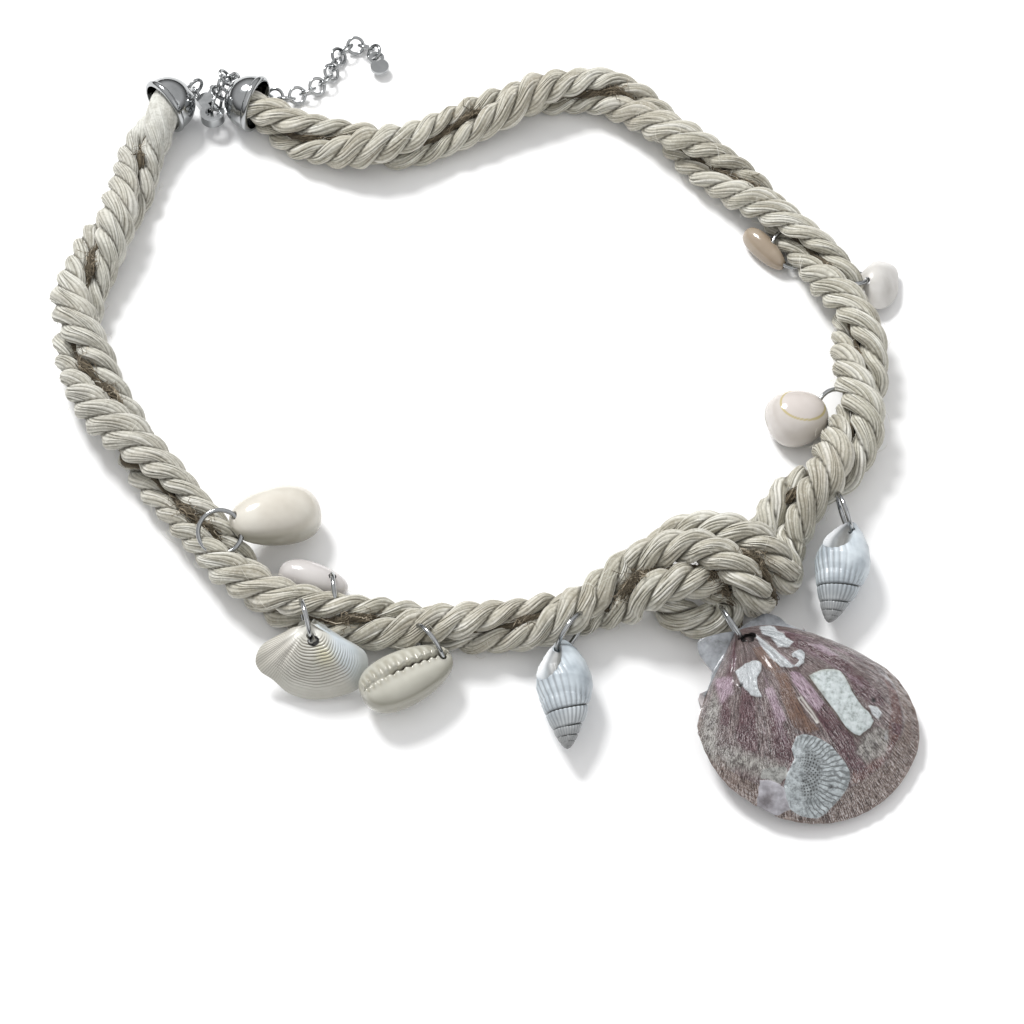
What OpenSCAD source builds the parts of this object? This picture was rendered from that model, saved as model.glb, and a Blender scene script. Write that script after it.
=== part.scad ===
// Shell necklace: a soft twisted rope pair with two thin twines, knotted on one side, hung with
// shells on round wire rings, closed by a lever clasp with a short extension chain.
// Millimetres, +Z up. The loop lies flat on z = 0, its clasp at the far left.

/* [Rope] */
// Thickness of one rope in the open knot
rope_d = 6.8; // [6.4:0.1:6.8]
// Thickness of one rope along the pair's own radius, where the pair is twisted tight
rope_thick = 6; // [5.6:0.1:6]
// Width of one rope across that radius
rope_wide = 8.8; // [8:0.1:8.8]
// Distance of each rope's middle from the pair's middle
rope_off = 3.1; // [3.1:0.05:3.2]
// Height of the pair's middle above the surface where its size is 1
lie = 6.1; // [6.1:0.05:6.3]
// Thickness of a twine
twine_d = 2.2; // [1.8:0.1:2.2]
// Distance of a twine's middle from the pair's middle
twine_off = 4.1; // [4.1:0.05:4.3]

/* [Caps and clasp] */
// Outer width of a cap
cap_d = 11.8; // [11.6:0.1:12]
// Length of a cap without its loop
cap_l = 7.2; // [7:0.1:7.6]
// Wall of a cap
cap_wall = 0.6; // [0.5:0.05:0.7]
// Thickness of the clasp's body
clasp_t = 2.2; // [2:0.1:2.4]
// Radius of the clasp's pin
pin_r = 0.35; // [0.3:0.01:0.4]
// Gap round the pin in the lever's bore
pin_gap = 0.04; // [0.03:0.01:0.06]
// Thickness of the clasp's lever
lever_t = 1; // [0.8:0.05:1]
// Width of the slot in the body that the lever moves in
lever_slot = 1.3; // [1.25:0.05:1.4]
// Middle radius of the clasp's tail ring
tail_r = 1.5; // [1.4:0.05:1.6]

/* [Rings and chain] */
// Middle radius of a drop's ring
ring_r = 4.2; // [4.1:0.05:4.3]
// Wire of a drop's ring
ring_wire = 0.9; // [0.7:0.05:0.9]
// Width that a ring's channel through its shell has more than the ring's wire
channel_play = 0.6; // [0.4:0.1:0.8]
// Middle radius of a chain link
link_r = 1.75; // [1.7:0.05:1.8]
// Wire of a chain link
link_wire = 0.72; // [0.6:0.02:0.74]
// Distance from one link's middle to the next
link_step = 2.5; // [2.4:0.05:2.55]

/* [Shells] */
// Height of the large pendant shell from its beak to its far edge
scallop_h = 42; // [41:0.2:43]
// Radius of its round part
scallop_r = 21; // [20:0.1:22]
// Rise of the large pendant shell
scallop_rise = 8.5; // [8:0.5:10]
// Wall of a hollow shell
valve_wall = 1.2; // [1:0.1:1.4]
// Length of a whelk
whelk_l = 23; // [22:0.5:25]
// Width of a whelk
whelk_w = 10.4; // [9.5:0.1:10.6]

/* [Hidden] */
$fn = 48;

// Height of the caps' middles
cap_z = cap_d / 2 + 0.4;

// Middle of the whole outline, which goes to the origin
middle = [-7, 26.75];

// Pair's middle line from the left cap to the knot: place, turn of the pair in degrees, squeeze
// columns: x, y, turn, size
left_run = [
    [-73.3, 100.9, -100, 0.74], [-76, 95.4, -60, 0.8], [-79, 86.5, 0, 0.8], [-80.6, 76, 65, 0.84],
    [-83.9, 66, 125, 0.96], [-86.6, 57.5, 180, 0.88], [-88.8, 49, 230, 0.93], [-88.4, 40, 280, 1],
    [-85.6, 31.3, 335, 0.97], [-81.8, 22.4, 385, 0.98], [-75.9, 13.6, 430, 1], [-69.9, 5.4, 475, 0.9],
    [-63, -3.4, 520, 0.82], [-56.8, -11.5, 560, 0.84], [-50.7, -19.2, 600, 0.86], [-43, -24.4, 635, 0.84],
    [-34.5, -27.2, 675, 0.83], [-25, -28.6, 725, 0.82], [-15.5, -29, 780, 0.86], [-6, -29.4, 835, 0.83],
    [3.5, -28.4, 895, 0.83], [10, -26.6, 950, 0.9], [16, -24.4, 1010, 0.9]];
// The same from the knot to the right cap
right_run = [
    [55.4, -1.4, 15, 0.98], [63.4, 6.7, 110, 0.98], [68, 15.5, 210, 0.96], [69.6, 24.5, 295, 0.9],
    [70.2, 35, 385, 0.94], [69.2, 45.5, 460, 0.86], [65.6, 55, 535, 0.88], [60.3, 64, 600, 0.77],
    [53.4, 73.1, 670, 0.8], [45.2, 81.2, 740, 0.86], [36.6, 89.8, 815, 0.88], [29, 98.6, 875, 0.82],
    [21, 104.5, 935, 0.84], [12.5, 105.4, 980, 0.8], [4, 103.6, 1020, 0.9], [-4.5, 99.2, 1065, 0.83],
    [-13, 94.4, 1105, 0.8], [-21.5, 90.2, 1160, 0.82], [-30, 89.2, 1215, 0.95], [-39, 90.6, 1275, 0.86],
    [-46.4, 93.4, 1325, 0.83], [-51.4, 97, 1362, 0.8], [-56.9, 100.7, 1400, 0.74]];
// Each rope and twine through the knot: x, y, z
knot_a = [
    [21.4, -25.8, 6.4], [25, -25, 9.6], [29, -24, 11.4], [33, -22.6, 11.2], [37, -21.8, 8.8],
    [40.2, -22.6, 6.2], [41.2, -24.8, 4.6], [39.2, -26.9, 3.9], [35.6, -27.1, 3.7], [32, -26, 3.7],
    [29.6, -23.4, 3.7], [28.1, -20, 3.7], [27.6, -16, 3.8], [28, -12.8, 4.8], [30.6, -10.8, 7.4],
    [34.8, -11, 10.6], [39.6, -12, 12.6], [44.3, -13.7, 12.9], [48, -15.8, 12.2], [50.6, -18, 10.4],
    [51.7, -18.8, 7.6], [52.3, -17.8, 4.6], [52.8, -13.6, 3.6], [54.2, -8.8, 4.2]];
knot_b = [
    [21.5, -19.2, 9.6], [26, -17.5, 11.8], [30.8, -16.6, 13.2], [35.4, -17, 13.9], [39.4, -18.9, 13.9],
    [42.6, -21.8, 13.3], [45, -24, 11.6], [46.3, -24.6, 8.4], [46.7, -23.4, 5.2], [46.4, -20.6, 3.7],
    [46.2, -15.6, 3.6], [47.4, -9.8, 4]];
knot_twine_a = [
    [19.2, -27.2, 9.4], [21.8, -24.4, 11.5], [25, -21.9, 13], [28.8, -20.6, 13.7], [32.8, -20.2, 13.8],
    [36.4, -20.7, 13], [38.9, -22.2, 11.2], [41, -24.4, 9.4], [42.8, -26.2, 7.2], [43.4, -27.4, 4],
    [43.2, -26, 1.35], [42.2, -22.4, 1.3], [41.4, -17, 1.4], [42.6, -12, 2], [45.6, -8.6, 2.6],
    [49.4, -5.6, 4.4], [52.2, -2.8, 8]];
knot_twine_b = [
    [18.4, -18.2, 6.8], [21.4, -16.6, 8.2], [25, -15.3, 9.6], [28.8, -14.6, 10.9],
    [32.8, -14.4, 12.8], [37, -14.9, 15], [41.8, -17.3, 15.2], [45.8, -19.8, 14.6], [48.4, -22.2, 12],
    [50, -23.8, 8.4], [50, -22, 4.4], [49.8, -18, 1.5], [50, -13, 1.3], [51.6, -7.6, 1.3]];

// Rings of the drops: place of the ring's middle, turn of its plane about Z, its lean from upright
scallop_hang = [[41.5, -31.6, 9.3], 118, 17];
whelk_left_hang = [[11.1, -31.3, 6.6], 53, 0];
whelk_right_hang = [[64.4, -5.3, 7.4], 105, 9];
clam_hang = [[-38.7, -30.9, 9.6], 105, 0];
clam_far_hang = [[69.4, 55, 4.2], 177, 55];
cowrie_left_hang = [[-56, -10.8, 9.6], 14, 60];
cowrie_front_hang = [[-15.5, -34.2, 7], 128, 0];
cowrie_right_hang = [[65.3, 21.6, 4.4], 20, 70];
cowrie_far_hang = [[58.4, 63.4, 3.4], 15, 70];
cowrie_hidden_hang = [[-33.9, -22.3, 5], 97, 0];

function unit(v) = v / norm(v);
function at(a, b, f) = a * (1 - f) + b * f;

// A smooth curve through the rows of a table, in steps parts between two rows
function between(a, b, c, d, t) =
    0.5 * (2 * b + (c - a) * t + (2 * a - 5 * b + 4 * c - d) * t * t + (3 * b - a - 3 * c + d) * t * t * t);
function smooth_rows(rows, steps) = let (
    n = len(rows),
    ends = concat([2 * rows[0] - rows[1]], rows, [2 * rows[n - 1] - rows[n - 2]]))
    concat([for (i = [1 : n - 1], j = [0 : steps - 1])
        between(ends[i - 1], ends[i], ends[i + 1], ends[i + 2], j / steps)], [rows[n - 1]]);
function heading(line, i) =
    unit(line[min(i + 1, len(line) - 1)] - line[max(i - 1, 0)]);

// Length of a line up to each of its points
function runs(line) = [for (i = 0, s = 0; i < len(line); i = i + 1,
    s = s + norm(line[min(i, len(line) - 1)] - line[i - 1])) s];

// Twisted stretch: each entry is [middle, direction of rope A, direction of the groove, size]
function twisted(table, cap) = let (
    rows = smooth_rows(table, 2),
    line = [for (r = rows) [r.x, r.y, max(lie * r[3], cap_z - norm([r.x, r.y] - [cap.x, cap.y]) / 10)]])
    [for (i = [0 : len(rows) - 1]) let (
        along = heading(line, i), side = cross([0, 0, 1], along), phase = 180 - rows[i][2])
        [line[i], side * cos(phase) + [0, 0, 1] * sin(phase),
            [0, 0, 1] * cos(phase) - side * sin(phase), rows[i][3]]];
left_pair = twisted(left_run, left_run[0]);
right_pair = twisted(right_run, right_run[len(right_run) - 1]);

// One rope's line: place and, where it is twisted, the pair's radius and the size there
function pair_part(pair, off) = [for (p = pair) [p[0] + p[1] * off * p[3], p[1], p[3]]];
function knot_part(rows) = let (fine = smooth_rows(rows, 2)) [for (p = fine) [p, [0, 0, 0], 1]];
function rope_line(off, rows) =
    concat(pair_part(left_pair, off), knot_part(rows), pair_part(right_pair, off));
function groove_part(pair, off) = [for (p = pair) [p[0] + p[2] * off * p[3], [0, 0, 0], p[3]]];
function twine_line(off, rows) =
    concat(groove_part(left_pair, off), knot_part(rows), groove_part(right_pair, off));

// Directions square to a line, carried along it without spinning
function square_to(along, v) = unit(v - along * (along * v));
function carried(line) = let (n = len(line))
    [for (i = 0, u = square_to(heading(line, 0), [0, 0, 1]); i < n;
        i = i + 1, u = square_to(heading(line, min(i, n - 1)), u)) u];

// Reach of an oval section in a direction at angle a from its thin radius
function oval(thin, wide, a) = thin * wide / sqrt(pow(wide * cos(a), 2) + pow(thin * sin(a), 2));

function rope_rings(path, sides) = let (
    line = [for (p = path) p[0]], frame = carried(line))
    [for (i = [0 : len(path) - 1]) let (
        u = frame[i], v = cross(heading(line, i), u), axis = path[i][1], size = path[i][2],
        tight = norm(axis) > 0,
        turn = tight ? atan2(axis * v, axis * u) : 0,
        thin = (tight ? rope_thick : rope_d) / 2 * size,
        wide = (tight ? rope_wide : rope_d) / 2 * size)
        [for (j = [0 : sides - 1]) let (a = 360 * j / sides)
            line[i] + oval(thin, wide, a - turn) * (u * cos(a) + v * sin(a))]];
function twine_rings(path, sides) = let (
    line = [for (p = path) p[0]], frame = carried(line))
    [for (i = [0 : len(path) - 1]) let (u = frame[i], v = cross(heading(line, i), u))
        [for (j = [0 : sides - 1]) let (a = 360 * j / sides)
            line[i] + twine_d / 2 * path[i][2] * (u * cos(a) + v * sin(a))]];

// Closed solid through rings of equal length, with flat ends
module skin(rings) {
    n = len(rings);
    m = len(rings[0]);
    polyhedron([for (r = rings) each r], concat(
        [[for (j = [0 : m - 1]) j]],
        [for (i = [0 : n - 2], j = [0 : m - 1]) let (k = (j + 1) % m)
            [i * m + j, (i + 1) * m + k, i * m + k]],
        [for (i = [0 : n - 2], j = [0 : m - 1]) let (k = (j + 1) % m)
            [i * m + j, (i + 1) * m + j, (i + 1) * m + k]],
        [[for (j = [m - 1 : -1 : 0]) (n - 1) * m + j]]));
}

// Closed wall whose rings run over the outside and back along the inside
module wall_skin(rings) {
    n = len(rings);
    m = len(rings[0]);
    h = m / 2;
    function strip(base, flip) = [for (j = [0 : h - 2]) each
        let (a = base + j, b = base + j + 1, c = base + m - 2 - j, d = base + m - 1 - j)
        flip ? [[a, b, c], [a, c, d]] : [[a, c, b], [a, d, c]]];
    polyhedron([for (r = rings) each r], concat(
        strip(0, false),
        [for (i = [0 : n - 2], j = [0 : m - 1]) let (k = (j + 1) % m)
            [i * m + j, i * m + k, (i + 1) * m + k]],
        [for (i = [0 : n - 2], j = [0 : m - 1]) let (k = (j + 1) % m)
            [i * m + j, (i + 1) * m + k, (i + 1) * m + j]],
        strip((n - 1) * m, true)));
}

module place() translate([-middle.x, -middle.y, 0]) children();

module wire_ring(r, wire) rotate_extrude() translate([r, 0]) circle(d = wire, $fn = 24);

// Ring whose plane stands along turn and leans from upright by lean
module ring_at(p, turn, lean, r = ring_r, wire = ring_wire)
    translate(p) rotate([0, 0, turn]) rotate([90 - lean, 0, 0]) wire_ring(r, wire);

// A drop's ring from its table row, and its shell with a channel that this ring runs through
module drop_ring(hang) color("silver") place() ring_at(hang[0], hang[1], hang[2]);
module hung(hang) place() difference() {
    children();
    ring_at(hang[0], hang[1], hang[2], ring_r, ring_wire + channel_play);
}

module rope_a() color("#cdc6b4") place() skin(rope_rings(rope_line(rope_off, knot_a), 10));
module rope_b() color("#c8c1ae") place() skin(rope_rings(rope_line(-rope_off, knot_b), 10));
module twine_a() color("#8a7355") place() skin(twine_rings(twine_line(-twine_off, knot_twine_a), 6));
module twine_b() color("#8a7355") place() skin(twine_rings(twine_line(twine_off, knot_twine_b), 6));

// Cap's loop: middle past the crown, middle radius, wire
cap_loop_out = 1.5;
cap_loop_r = 1.8;
cap_loop_wire = 0.8;
// Bell cap along +X from its mouth, with a small loop on its crown
module cap() {
    r = cap_d / 2;
    nose = cap_l - r;
    rotate([0, 90, 0]) rotate_extrude() difference() {
        union() {
            square([r, nose]);
            intersection() {
                translate([0, nose]) circle(r);
                square([r, cap_l]);
            }
            translate([r - 0.4, 0.5]) circle(0.75, $fn = 24);
        }
        translate([-1, -1]) square([r - cap_wall + 1, nose + 1]);
        translate([0, nose]) circle(r - cap_wall);
    }
    translate([cap_l + cap_loop_out, 0, 0]) rotate([90, 0, 0]) wire_ring(cap_loop_r, cap_loop_wire);
}
cap_left_at = [-74.9, 99.5, cap_z];
cap_left_turn = 42;
cap_right_at = [-54.8, 100.3, cap_z];
cap_right_turn = 157;
module cap_left() color("silver") place() translate(cap_left_at) rotate([0, 0, cap_left_turn]) cap();
module cap_right() color("silver") place() translate(cap_right_at) rotate([0, 0, cap_right_turn]) cap();

// Clasp along +X from its tail ring to its nose, in the plane z = 0
clasp_at = [-68.4, 105.3, cap_z - 2.25];
clasp_turn = -57;
claw = [7.2, 0];
claw_r = 2.6;
claw_hole = 1.45;
pivot = [3, 0.9];
hub_r = 0.9;
// Ear round the pivot, slot's length and height, lever's arm and its thumb tab
ear_r = 1.6;
slot_from = [1.5, -0.4];
slot_size = [4.45, 4];
arm_size = [2.9, 0.8];
arm_tilt = 8;
tab_at = [1.7, 2.4];
tab_size = [0.9, 3.4];
tab_lean = 35;
thumb_at = [0.7, 3.8];
thumb_r = 0.75;
// Claw's gap that the lever closes
mouth_from = [4.5, 0.5];
mouth_size = [3, 4];
module in_clasp() place() translate(clasp_at) rotate([0, 0, clasp_turn]) children();
module clasp_body() color("silver") in_clasp() difference() {
    union() {
        linear_extrude(clasp_t, center = true) difference() {
            union() {
                translate(claw) circle(claw_r);
                translate(pivot) circle(ear_r);
                translate([1.8, -1.2]) square([3.6, 2]);
            }
            translate(claw) circle(claw_hole);
            translate(mouth_from) square(mouth_size);
        }
        rotate([90, 0, 0]) wire_ring(tail_r, 0.7);
        translate([1.2, -1.1, -0.6]) cube([1, 1, 1.2]);
    }
    difference() {
        translate([slot_from.x, slot_from.y, -lever_slot / 2]) cube([slot_size.x, slot_size.y, lever_slot]);
        translate([pivot.x, pivot.y, -2]) cylinder(r = pin_r, h = 4);
    }
}
module clasp_lever() color("silver") in_clasp() linear_extrude(lever_t, center = true) difference() {
    union() {
        translate(pivot) circle(hub_r);
        translate([pivot.x, pivot.y + 0.1]) rotate(arm_tilt) square(arm_size);
        intersection() {
            translate(claw) difference() {
                circle(claw_r - 0.1);
                circle(claw_hole + 0.2);
            }
            translate([4.7, 0.9]) square([2.4, 3]);
        }
        translate(tab_at) rotate(tab_lean) square(tab_size, center = true);
        translate(thumb_at) circle(thumb_r);
    }
    translate(pivot) circle(pin_r + pin_gap);
}
module clasp_ring() color("silver") place() ring_at([-63.78, 102.02, clasp_at.z], 72, 0, 2.8, 0.7);

// Chain's line from the ring to its end: x, y, z
chain_run = [
    [-62.54, 104.33, 8.6], [-61.9, 106.4, 8.1], [-61, 108.4, 5.6], [-59.5, 109.2, 3], [-57.2, 108.7, 1.8],
    [-54.3, 107.4, 1.7], [-49, 106.2, 1.7], [-45, 108, 1.7], [-41.5, 110.5, 1.7], [-39.3, 114.2, 1.7],
    [-38.3, 118, 1.7], [-36, 121, 1.7], [-32.8, 121.4, 1.7], [-30.4, 119.6, 1.7], [-31.4, 117.4, 1.7]];
chain_line = smooth_rows(chain_run, 8);
chain_runs = runs(chain_line);
links = floor(chain_runs[len(chain_runs) - 1] / link_step);
// Place and heading of a link, or of what follows the last one, at a length s of the line
function on_chain(s) = let (
    k = max([for (j = [0 : len(chain_runs) - 2]) if (chain_runs[j] <= s) j]))
    [at(chain_line[k], chain_line[k + 1], (s - chain_runs[k]) / (chain_runs[k + 1] - chain_runs[k])),
        heading(chain_line, k)];
module extension_chain() color("silver") place() for (i = [0 : links]) {
    here = on_chain(i * link_step);
    h = here[1];
    translate(here[0]) rotate([0, -asin(h.z), atan2(h.y, h.x)])
        rotate([i == 0 ? 90 : i % 2 == 0 ? -45 : 45, 0, 0]) wire_ring(link_r, link_wire);
}
module chain_drop() color("silver") place() {
    last = on_chain(links * link_step);
    h = last[1];
    translate(last[0] + h * link_r) rotate([0, 0, atan2(h.y, h.x)]) linear_extrude(0.7, center = true)
        difference() {
            union() {
                circle(1.75);
                translate([2.6, 0]) circle(2);
            }
            circle(1.05);
        }
}

// One valve of a shell about its beak at the origin, opening along -Y
// columns of the outline: angle from -Y, reach, rise as a share of the dome
function valve_rings(outline, rise, ribs, rib_h, rows) = [for (i = [0 : rows]) let (
    u = at(0.025, 1, pow(i / rows, 1.1)), dome = sin(180 * pow(u, 0.75)),
    outer = [for (c = outline) let (h = rise * dome * c[2])
        [sin(c[0]) * c[1] * u, -cos(c[0]) * c[1] * u,
            valve_wall + h + rib_h * u * c[2] * (1 + cos(c[0] * ribs))]],
    inner = [for (j = [len(outline) - 1 : -1 : 0]) let (c = outline[j], p = outer[j], k = 0.96)
        [p.x * k, p.y * k, p.z - valve_wall * (i == rows ? 0.9 : 1)]])
    concat(outer, inner)];

// Fan of the large shell, with an ear at each side of its beak
function fan_reach(a) = let (c = scallop_h - scallop_r)
    c * cos(a) + sqrt(pow(scallop_r, 2) - pow(c * sin(a), 2));
// Its two sides are straighter than the round: share of the round's reach that is left at an angle
fan_trim = [
    [-58, 0.93], [-42, 0.966], [-33, 0.971], [-24, 0.991], [-12, 1], [12, 1.01], [20, 1.02], [27, 1.015],
    [35, 0.985], [40, 0.945], [43.5, 0.875], [47, 0.785], [52, 0.66], [55, 0.6]];
function ear_rows(rows) = [for (r = rows) [r[0], r[1], 0.08]];
scallop_outline = concat(
    ear_rows([[-112, 7], [-106, 7.8], [-95, 8.2], [-80, 8.6], [-63, 9.6]]),
    [for (j = [-12 : 12]) let (a = (j < 0 ? 58 : 55) * j / 12)
        [a, fan_reach(a) * lookup(a, fan_trim), pow(1 - pow(abs(j) / 12.6, 2.4), 0.6)]],
    ear_rows([[60, 11.6], [66, 9.9], [75, 9.2], [88, 7]]));
module scallop_pendant() color("#8d6a72") hung(scallop_hang)
    translate([42, -31.7, 6.4]) rotate([0, 0, 36]) rotate([7, 0, 0])
        wall_skin(valve_rings(scallop_outline, scallop_rise, 22, 0.25, 12));
module scallop_ring() drop_ring(scallop_hang);

// Spindle shell along -Y from its mouth end, in whorls that step at each seam
module whelk() {
    r = whelk_w / 2;
    outline = [[0, 0], [0.2, 0], [0.5, 0.08], [0.8, 0.2], [0.98, 0.34], [1, 0.42], [0.88, 0.54], [0.7, 0.6],
        [0.7, 0.61], [0.64, 0.68], [0.48, 0.77], [0.48, 0.78], [0.4, 0.84], [0.27, 0.9], [0.26, 0.91],
        [0.12, 0.98], [0, 1]];
    difference() {
        rotate([90, 0, 0]) rotate_extrude() polygon([for (p = outline) [p[0] * r, p[1] * whelk_l]]);
        translate([-r * 0.62, -whelk_l * 0.2, r * 0.78]) rotate([0, 0, 8]) rotate([90, 0, 0])
            cylinder(d = 3, h = whelk_l * 0.34, center = true);
    }
}
module whelk_left() color("white") hung(whelk_left_hang)
    translate([9.6, -32.6, 5.4]) rotate([0, 0, 1.5]) whelk();
module whelk_left_ring() drop_ring(whelk_left_hang);
module whelk_right() color("white") hung(whelk_right_hang)
    translate([66, -6.3, 5.4]) rotate([0, 0, -15]) whelk();
module whelk_right_ring() drop_ring(whelk_right_hang);

// Rounded triangular valve of the clams, its outline as for the large shell
clam_fan = 62;
function clam_outline(h) = [for (j = [-9 : 9]) let (t = abs(j) / 9)
    [clam_fan * j / 9, h * (1 + 0.1 * pow(t, 2) - 0.36 * pow(t, 8)), pow(1 - pow(t / 1.06, 2.2), 0.6)]];
module valve(h, rise) wall_skin(valve_rings(clam_outline(h), rise, 0, 0, 8));
module clam() color("#dcd8c8") hung(clam_hang)
    translate([-37.9, -30.6, 9.2]) rotate([0, 0, 2]) rotate([37, 0, 0]) valve(14.5, 4);
module clam_ring() drop_ring(clam_hang);
module clam_far() color("#e6e1d8") hung(clam_far_hang)
    translate([71.2, 55.4, 2.1]) rotate([0, 0, 80]) rotate([9, 0, 0]) valve(8.8, 3.4);
module clam_far_ring() drop_ring(clam_far_hang);

// Egg shell with a flat base and a slot, its length along X and its broad end at -X
function egg_rings(l, w, h, sides) = [for (i = [0 : 12]) let (
    a = 8 + 164 * i / 12, reach = pow(sin(a), 0.75) * (1 + 0.14 * cos(a)))
    [for (j = [0 : sides - 1]) let (
        b = 360 * j / sides, low = sin(b) < 0,
        slot = abs(b - 270) < 4 && abs(i - 6) < 5 ? 0.55 : 1)
        [-l / 2 * cos(a), w / 2 * reach * cos(b) * (low ? slot : 1),
            h * (low ? 0.36 : 0.64) * reach * sin(b) * (low ? slot : 1)]]];
module cowrie(l, w, h) mirror([0, 1, 0]) skin([for (r = egg_rings(l, w, h, 20)) r]);
module cowrie_left() color("#efe9dc") hung(cowrie_left_hang)
    translate([-46, -5.6, 6.4]) rotate([0, 0, 205]) rotate([0, -18, 0]) cowrie(18.4, 12.6, 9.4);
module cowrie_left_ring() drop_ring(cowrie_left_hang);
module cowrie_front() color("#e7ddca") hung(cowrie_front_hang)
    translate([-19.7, -40.5, 6.15]) rotate([0, 0, 29]) rotate([180, 0, 0]) cowrie(18.6, 10.8, 9.4);
module cowrie_front_ring() drop_ring(cowrie_front_hang);
module cowrie_right() color("#efe6d8") hung(cowrie_right_hang)
    translate([57, 19.9, 3.5]) rotate([0, 0, 20]) cowrie(12.4, 12, 8.8);
module cowrie_right_ring() drop_ring(cowrie_right_hang);
module cowrie_far() color("#d3bda4") hung(cowrie_far_hang)
    translate([52.8, 64, 2]) rotate([0, 0, -53]) cowrie(12, 5, 4.8);
module cowrie_far_ring() drop_ring(cowrie_far_hang);
module cowrie_hidden() color("#ece3da") hung(cowrie_hidden_hang)
    translate([-38.3, -17.5, 2.4]) rotate([0, 0, -18]) cowrie(14, 7, 6);
module cowrie_hidden_ring() drop_ring(cowrie_hidden_hang);

rope_a();
rope_b();
twine_a();
twine_b();
cap_left();
cap_right();
clasp_body();
clasp_lever();
clasp_ring();
extension_chain();
chain_drop();
scallop_pendant();
scallop_ring();
whelk_left();
whelk_left_ring();
whelk_right();
whelk_right_ring();
clam();
clam_ring();
cowrie_left();
cowrie_left_ring();
cowrie_front();
cowrie_front_ring();
cowrie_right();
cowrie_right_ring();
cowrie_far();
cowrie_far_ring();
cowrie_hidden();
cowrie_hidden_ring();
clam_far();
clam_far_ring();
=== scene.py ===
import bpy, math
import numpy as np
from mathutils import Vector, Matrix


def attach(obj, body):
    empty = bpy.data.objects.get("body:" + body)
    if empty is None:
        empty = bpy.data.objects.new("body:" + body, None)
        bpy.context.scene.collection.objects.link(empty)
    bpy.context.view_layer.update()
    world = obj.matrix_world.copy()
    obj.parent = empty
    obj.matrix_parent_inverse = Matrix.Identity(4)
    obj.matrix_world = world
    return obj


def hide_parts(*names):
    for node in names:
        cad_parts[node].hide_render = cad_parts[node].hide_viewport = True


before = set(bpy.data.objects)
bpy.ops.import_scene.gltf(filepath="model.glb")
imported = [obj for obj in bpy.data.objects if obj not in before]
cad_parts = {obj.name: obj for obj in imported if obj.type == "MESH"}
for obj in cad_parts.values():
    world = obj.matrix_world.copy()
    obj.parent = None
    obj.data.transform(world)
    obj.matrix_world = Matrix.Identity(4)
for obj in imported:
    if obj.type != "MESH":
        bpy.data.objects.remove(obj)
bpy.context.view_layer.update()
print("frame loaded:", len(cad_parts), "nodes")

mm = 0.001
middle = np.array([-7, 26.75, 0])  # middle of the outline in the construction, which sits at the origin here
tau = 2 * math.pi


# Small helpers

def toMetres(points):  # construction millimetres to the frame's metres
    return (np.asarray(points, float) - middle) * mm


def meshPiece(name, points, faces):
    mesh = bpy.data.meshes.new(name)
    mesh.from_pydata(np.asarray(points).tolist(), [], [list(f) for f in faces])
    mesh.update()
    piece = bpy.data.objects.new(name, mesh)
    bpy.context.scene.collection.objects.link(piece)
    return piece


def takeUp(piece):  # only this piece selected and active
    bpy.ops.object.select_all(action="DESELECT")
    piece.select_set(True)
    bpy.context.view_layer.objects.active = piece


def applyAll(piece):
    takeUp(piece)
    for modifier in list(piece.modifiers):
        bpy.ops.object.modifier_apply(modifier=modifier.name)


def corners(piece):
    out = np.empty(len(piece.data.vertices) * 3)
    piece.data.vertices.foreach_get("co", out)
    return out.reshape(-1, 3)


def putCorners(piece, points):
    piece.data.vertices.foreach_set("co", np.asarray(points, float).ravel())
    piece.data.update()


def mark(piece, name, values):  # one number per corner, read by the material
    layer = piece.data.attributes.get(name) or piece.data.attributes.new(name, "FLOAT", "POINT")
    layer.data.foreach_set("value", np.asarray(values, float).ravel())


def markAll(piece, **named):
    for name, values in named.items():
        mark(piece, name, values)


def giveWall(piece, thick):  # the wall's inner layer comes first among its corners
    wall = piece.modifiers.new("wall", "SOLIDIFY")
    wall.thickness, wall.offset = thick * mm, 1
    applyAll(piece)


def smooth(piece, angle=60):
    takeUp(piece)
    bpy.ops.object.shade_smooth_by_angle(angle=math.radians(angle))


def outward(piece):
    takeUp(piece)
    bpy.ops.object.mode_set(mode="EDIT")
    bpy.ops.mesh.select_all(action="SELECT")
    bpy.ops.mesh.remove_doubles(threshold=1e-6)
    bpy.ops.mesh.normals_make_consistent(inside=False)
    bpy.ops.object.mode_set(mode="OBJECT")


def faceOut(piece):  # a closed wall whose volume comes out negative is inside out
    made = piece.data
    made.calc_loop_triangles()
    points = corners(piece)
    thirds = np.empty(len(made.loop_triangles) * 3, dtype=np.int32)
    made.loop_triangles.foreach_get("vertices", thirds)
    a, b, c = (points[thirds.reshape(-1, 3)[:, k]] for k in range(3))
    if (a * np.cross(b, c)).sum() < 0:
        made.flip_normals()


def turned(x=0, y=0, z=0):  # turn about X, then Y, then Z, in degrees
    return np.array(Matrix.Rotation(math.radians(z), 3, "Z") @ Matrix.Rotation(math.radians(y), 3, "Y")
                    @ Matrix.Rotation(math.radians(x), 3, "X"))


def settle(piece, body, node, material):
    piece.data.materials.clear()
    piece.data.materials.append(material)
    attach(piece, body)
    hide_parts(node)


def ease(low, high, x):
    t = np.clip((x - low) / (high - low), 0, 1)
    return t * t * (3 - 2 * t)


# Materials

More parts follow.
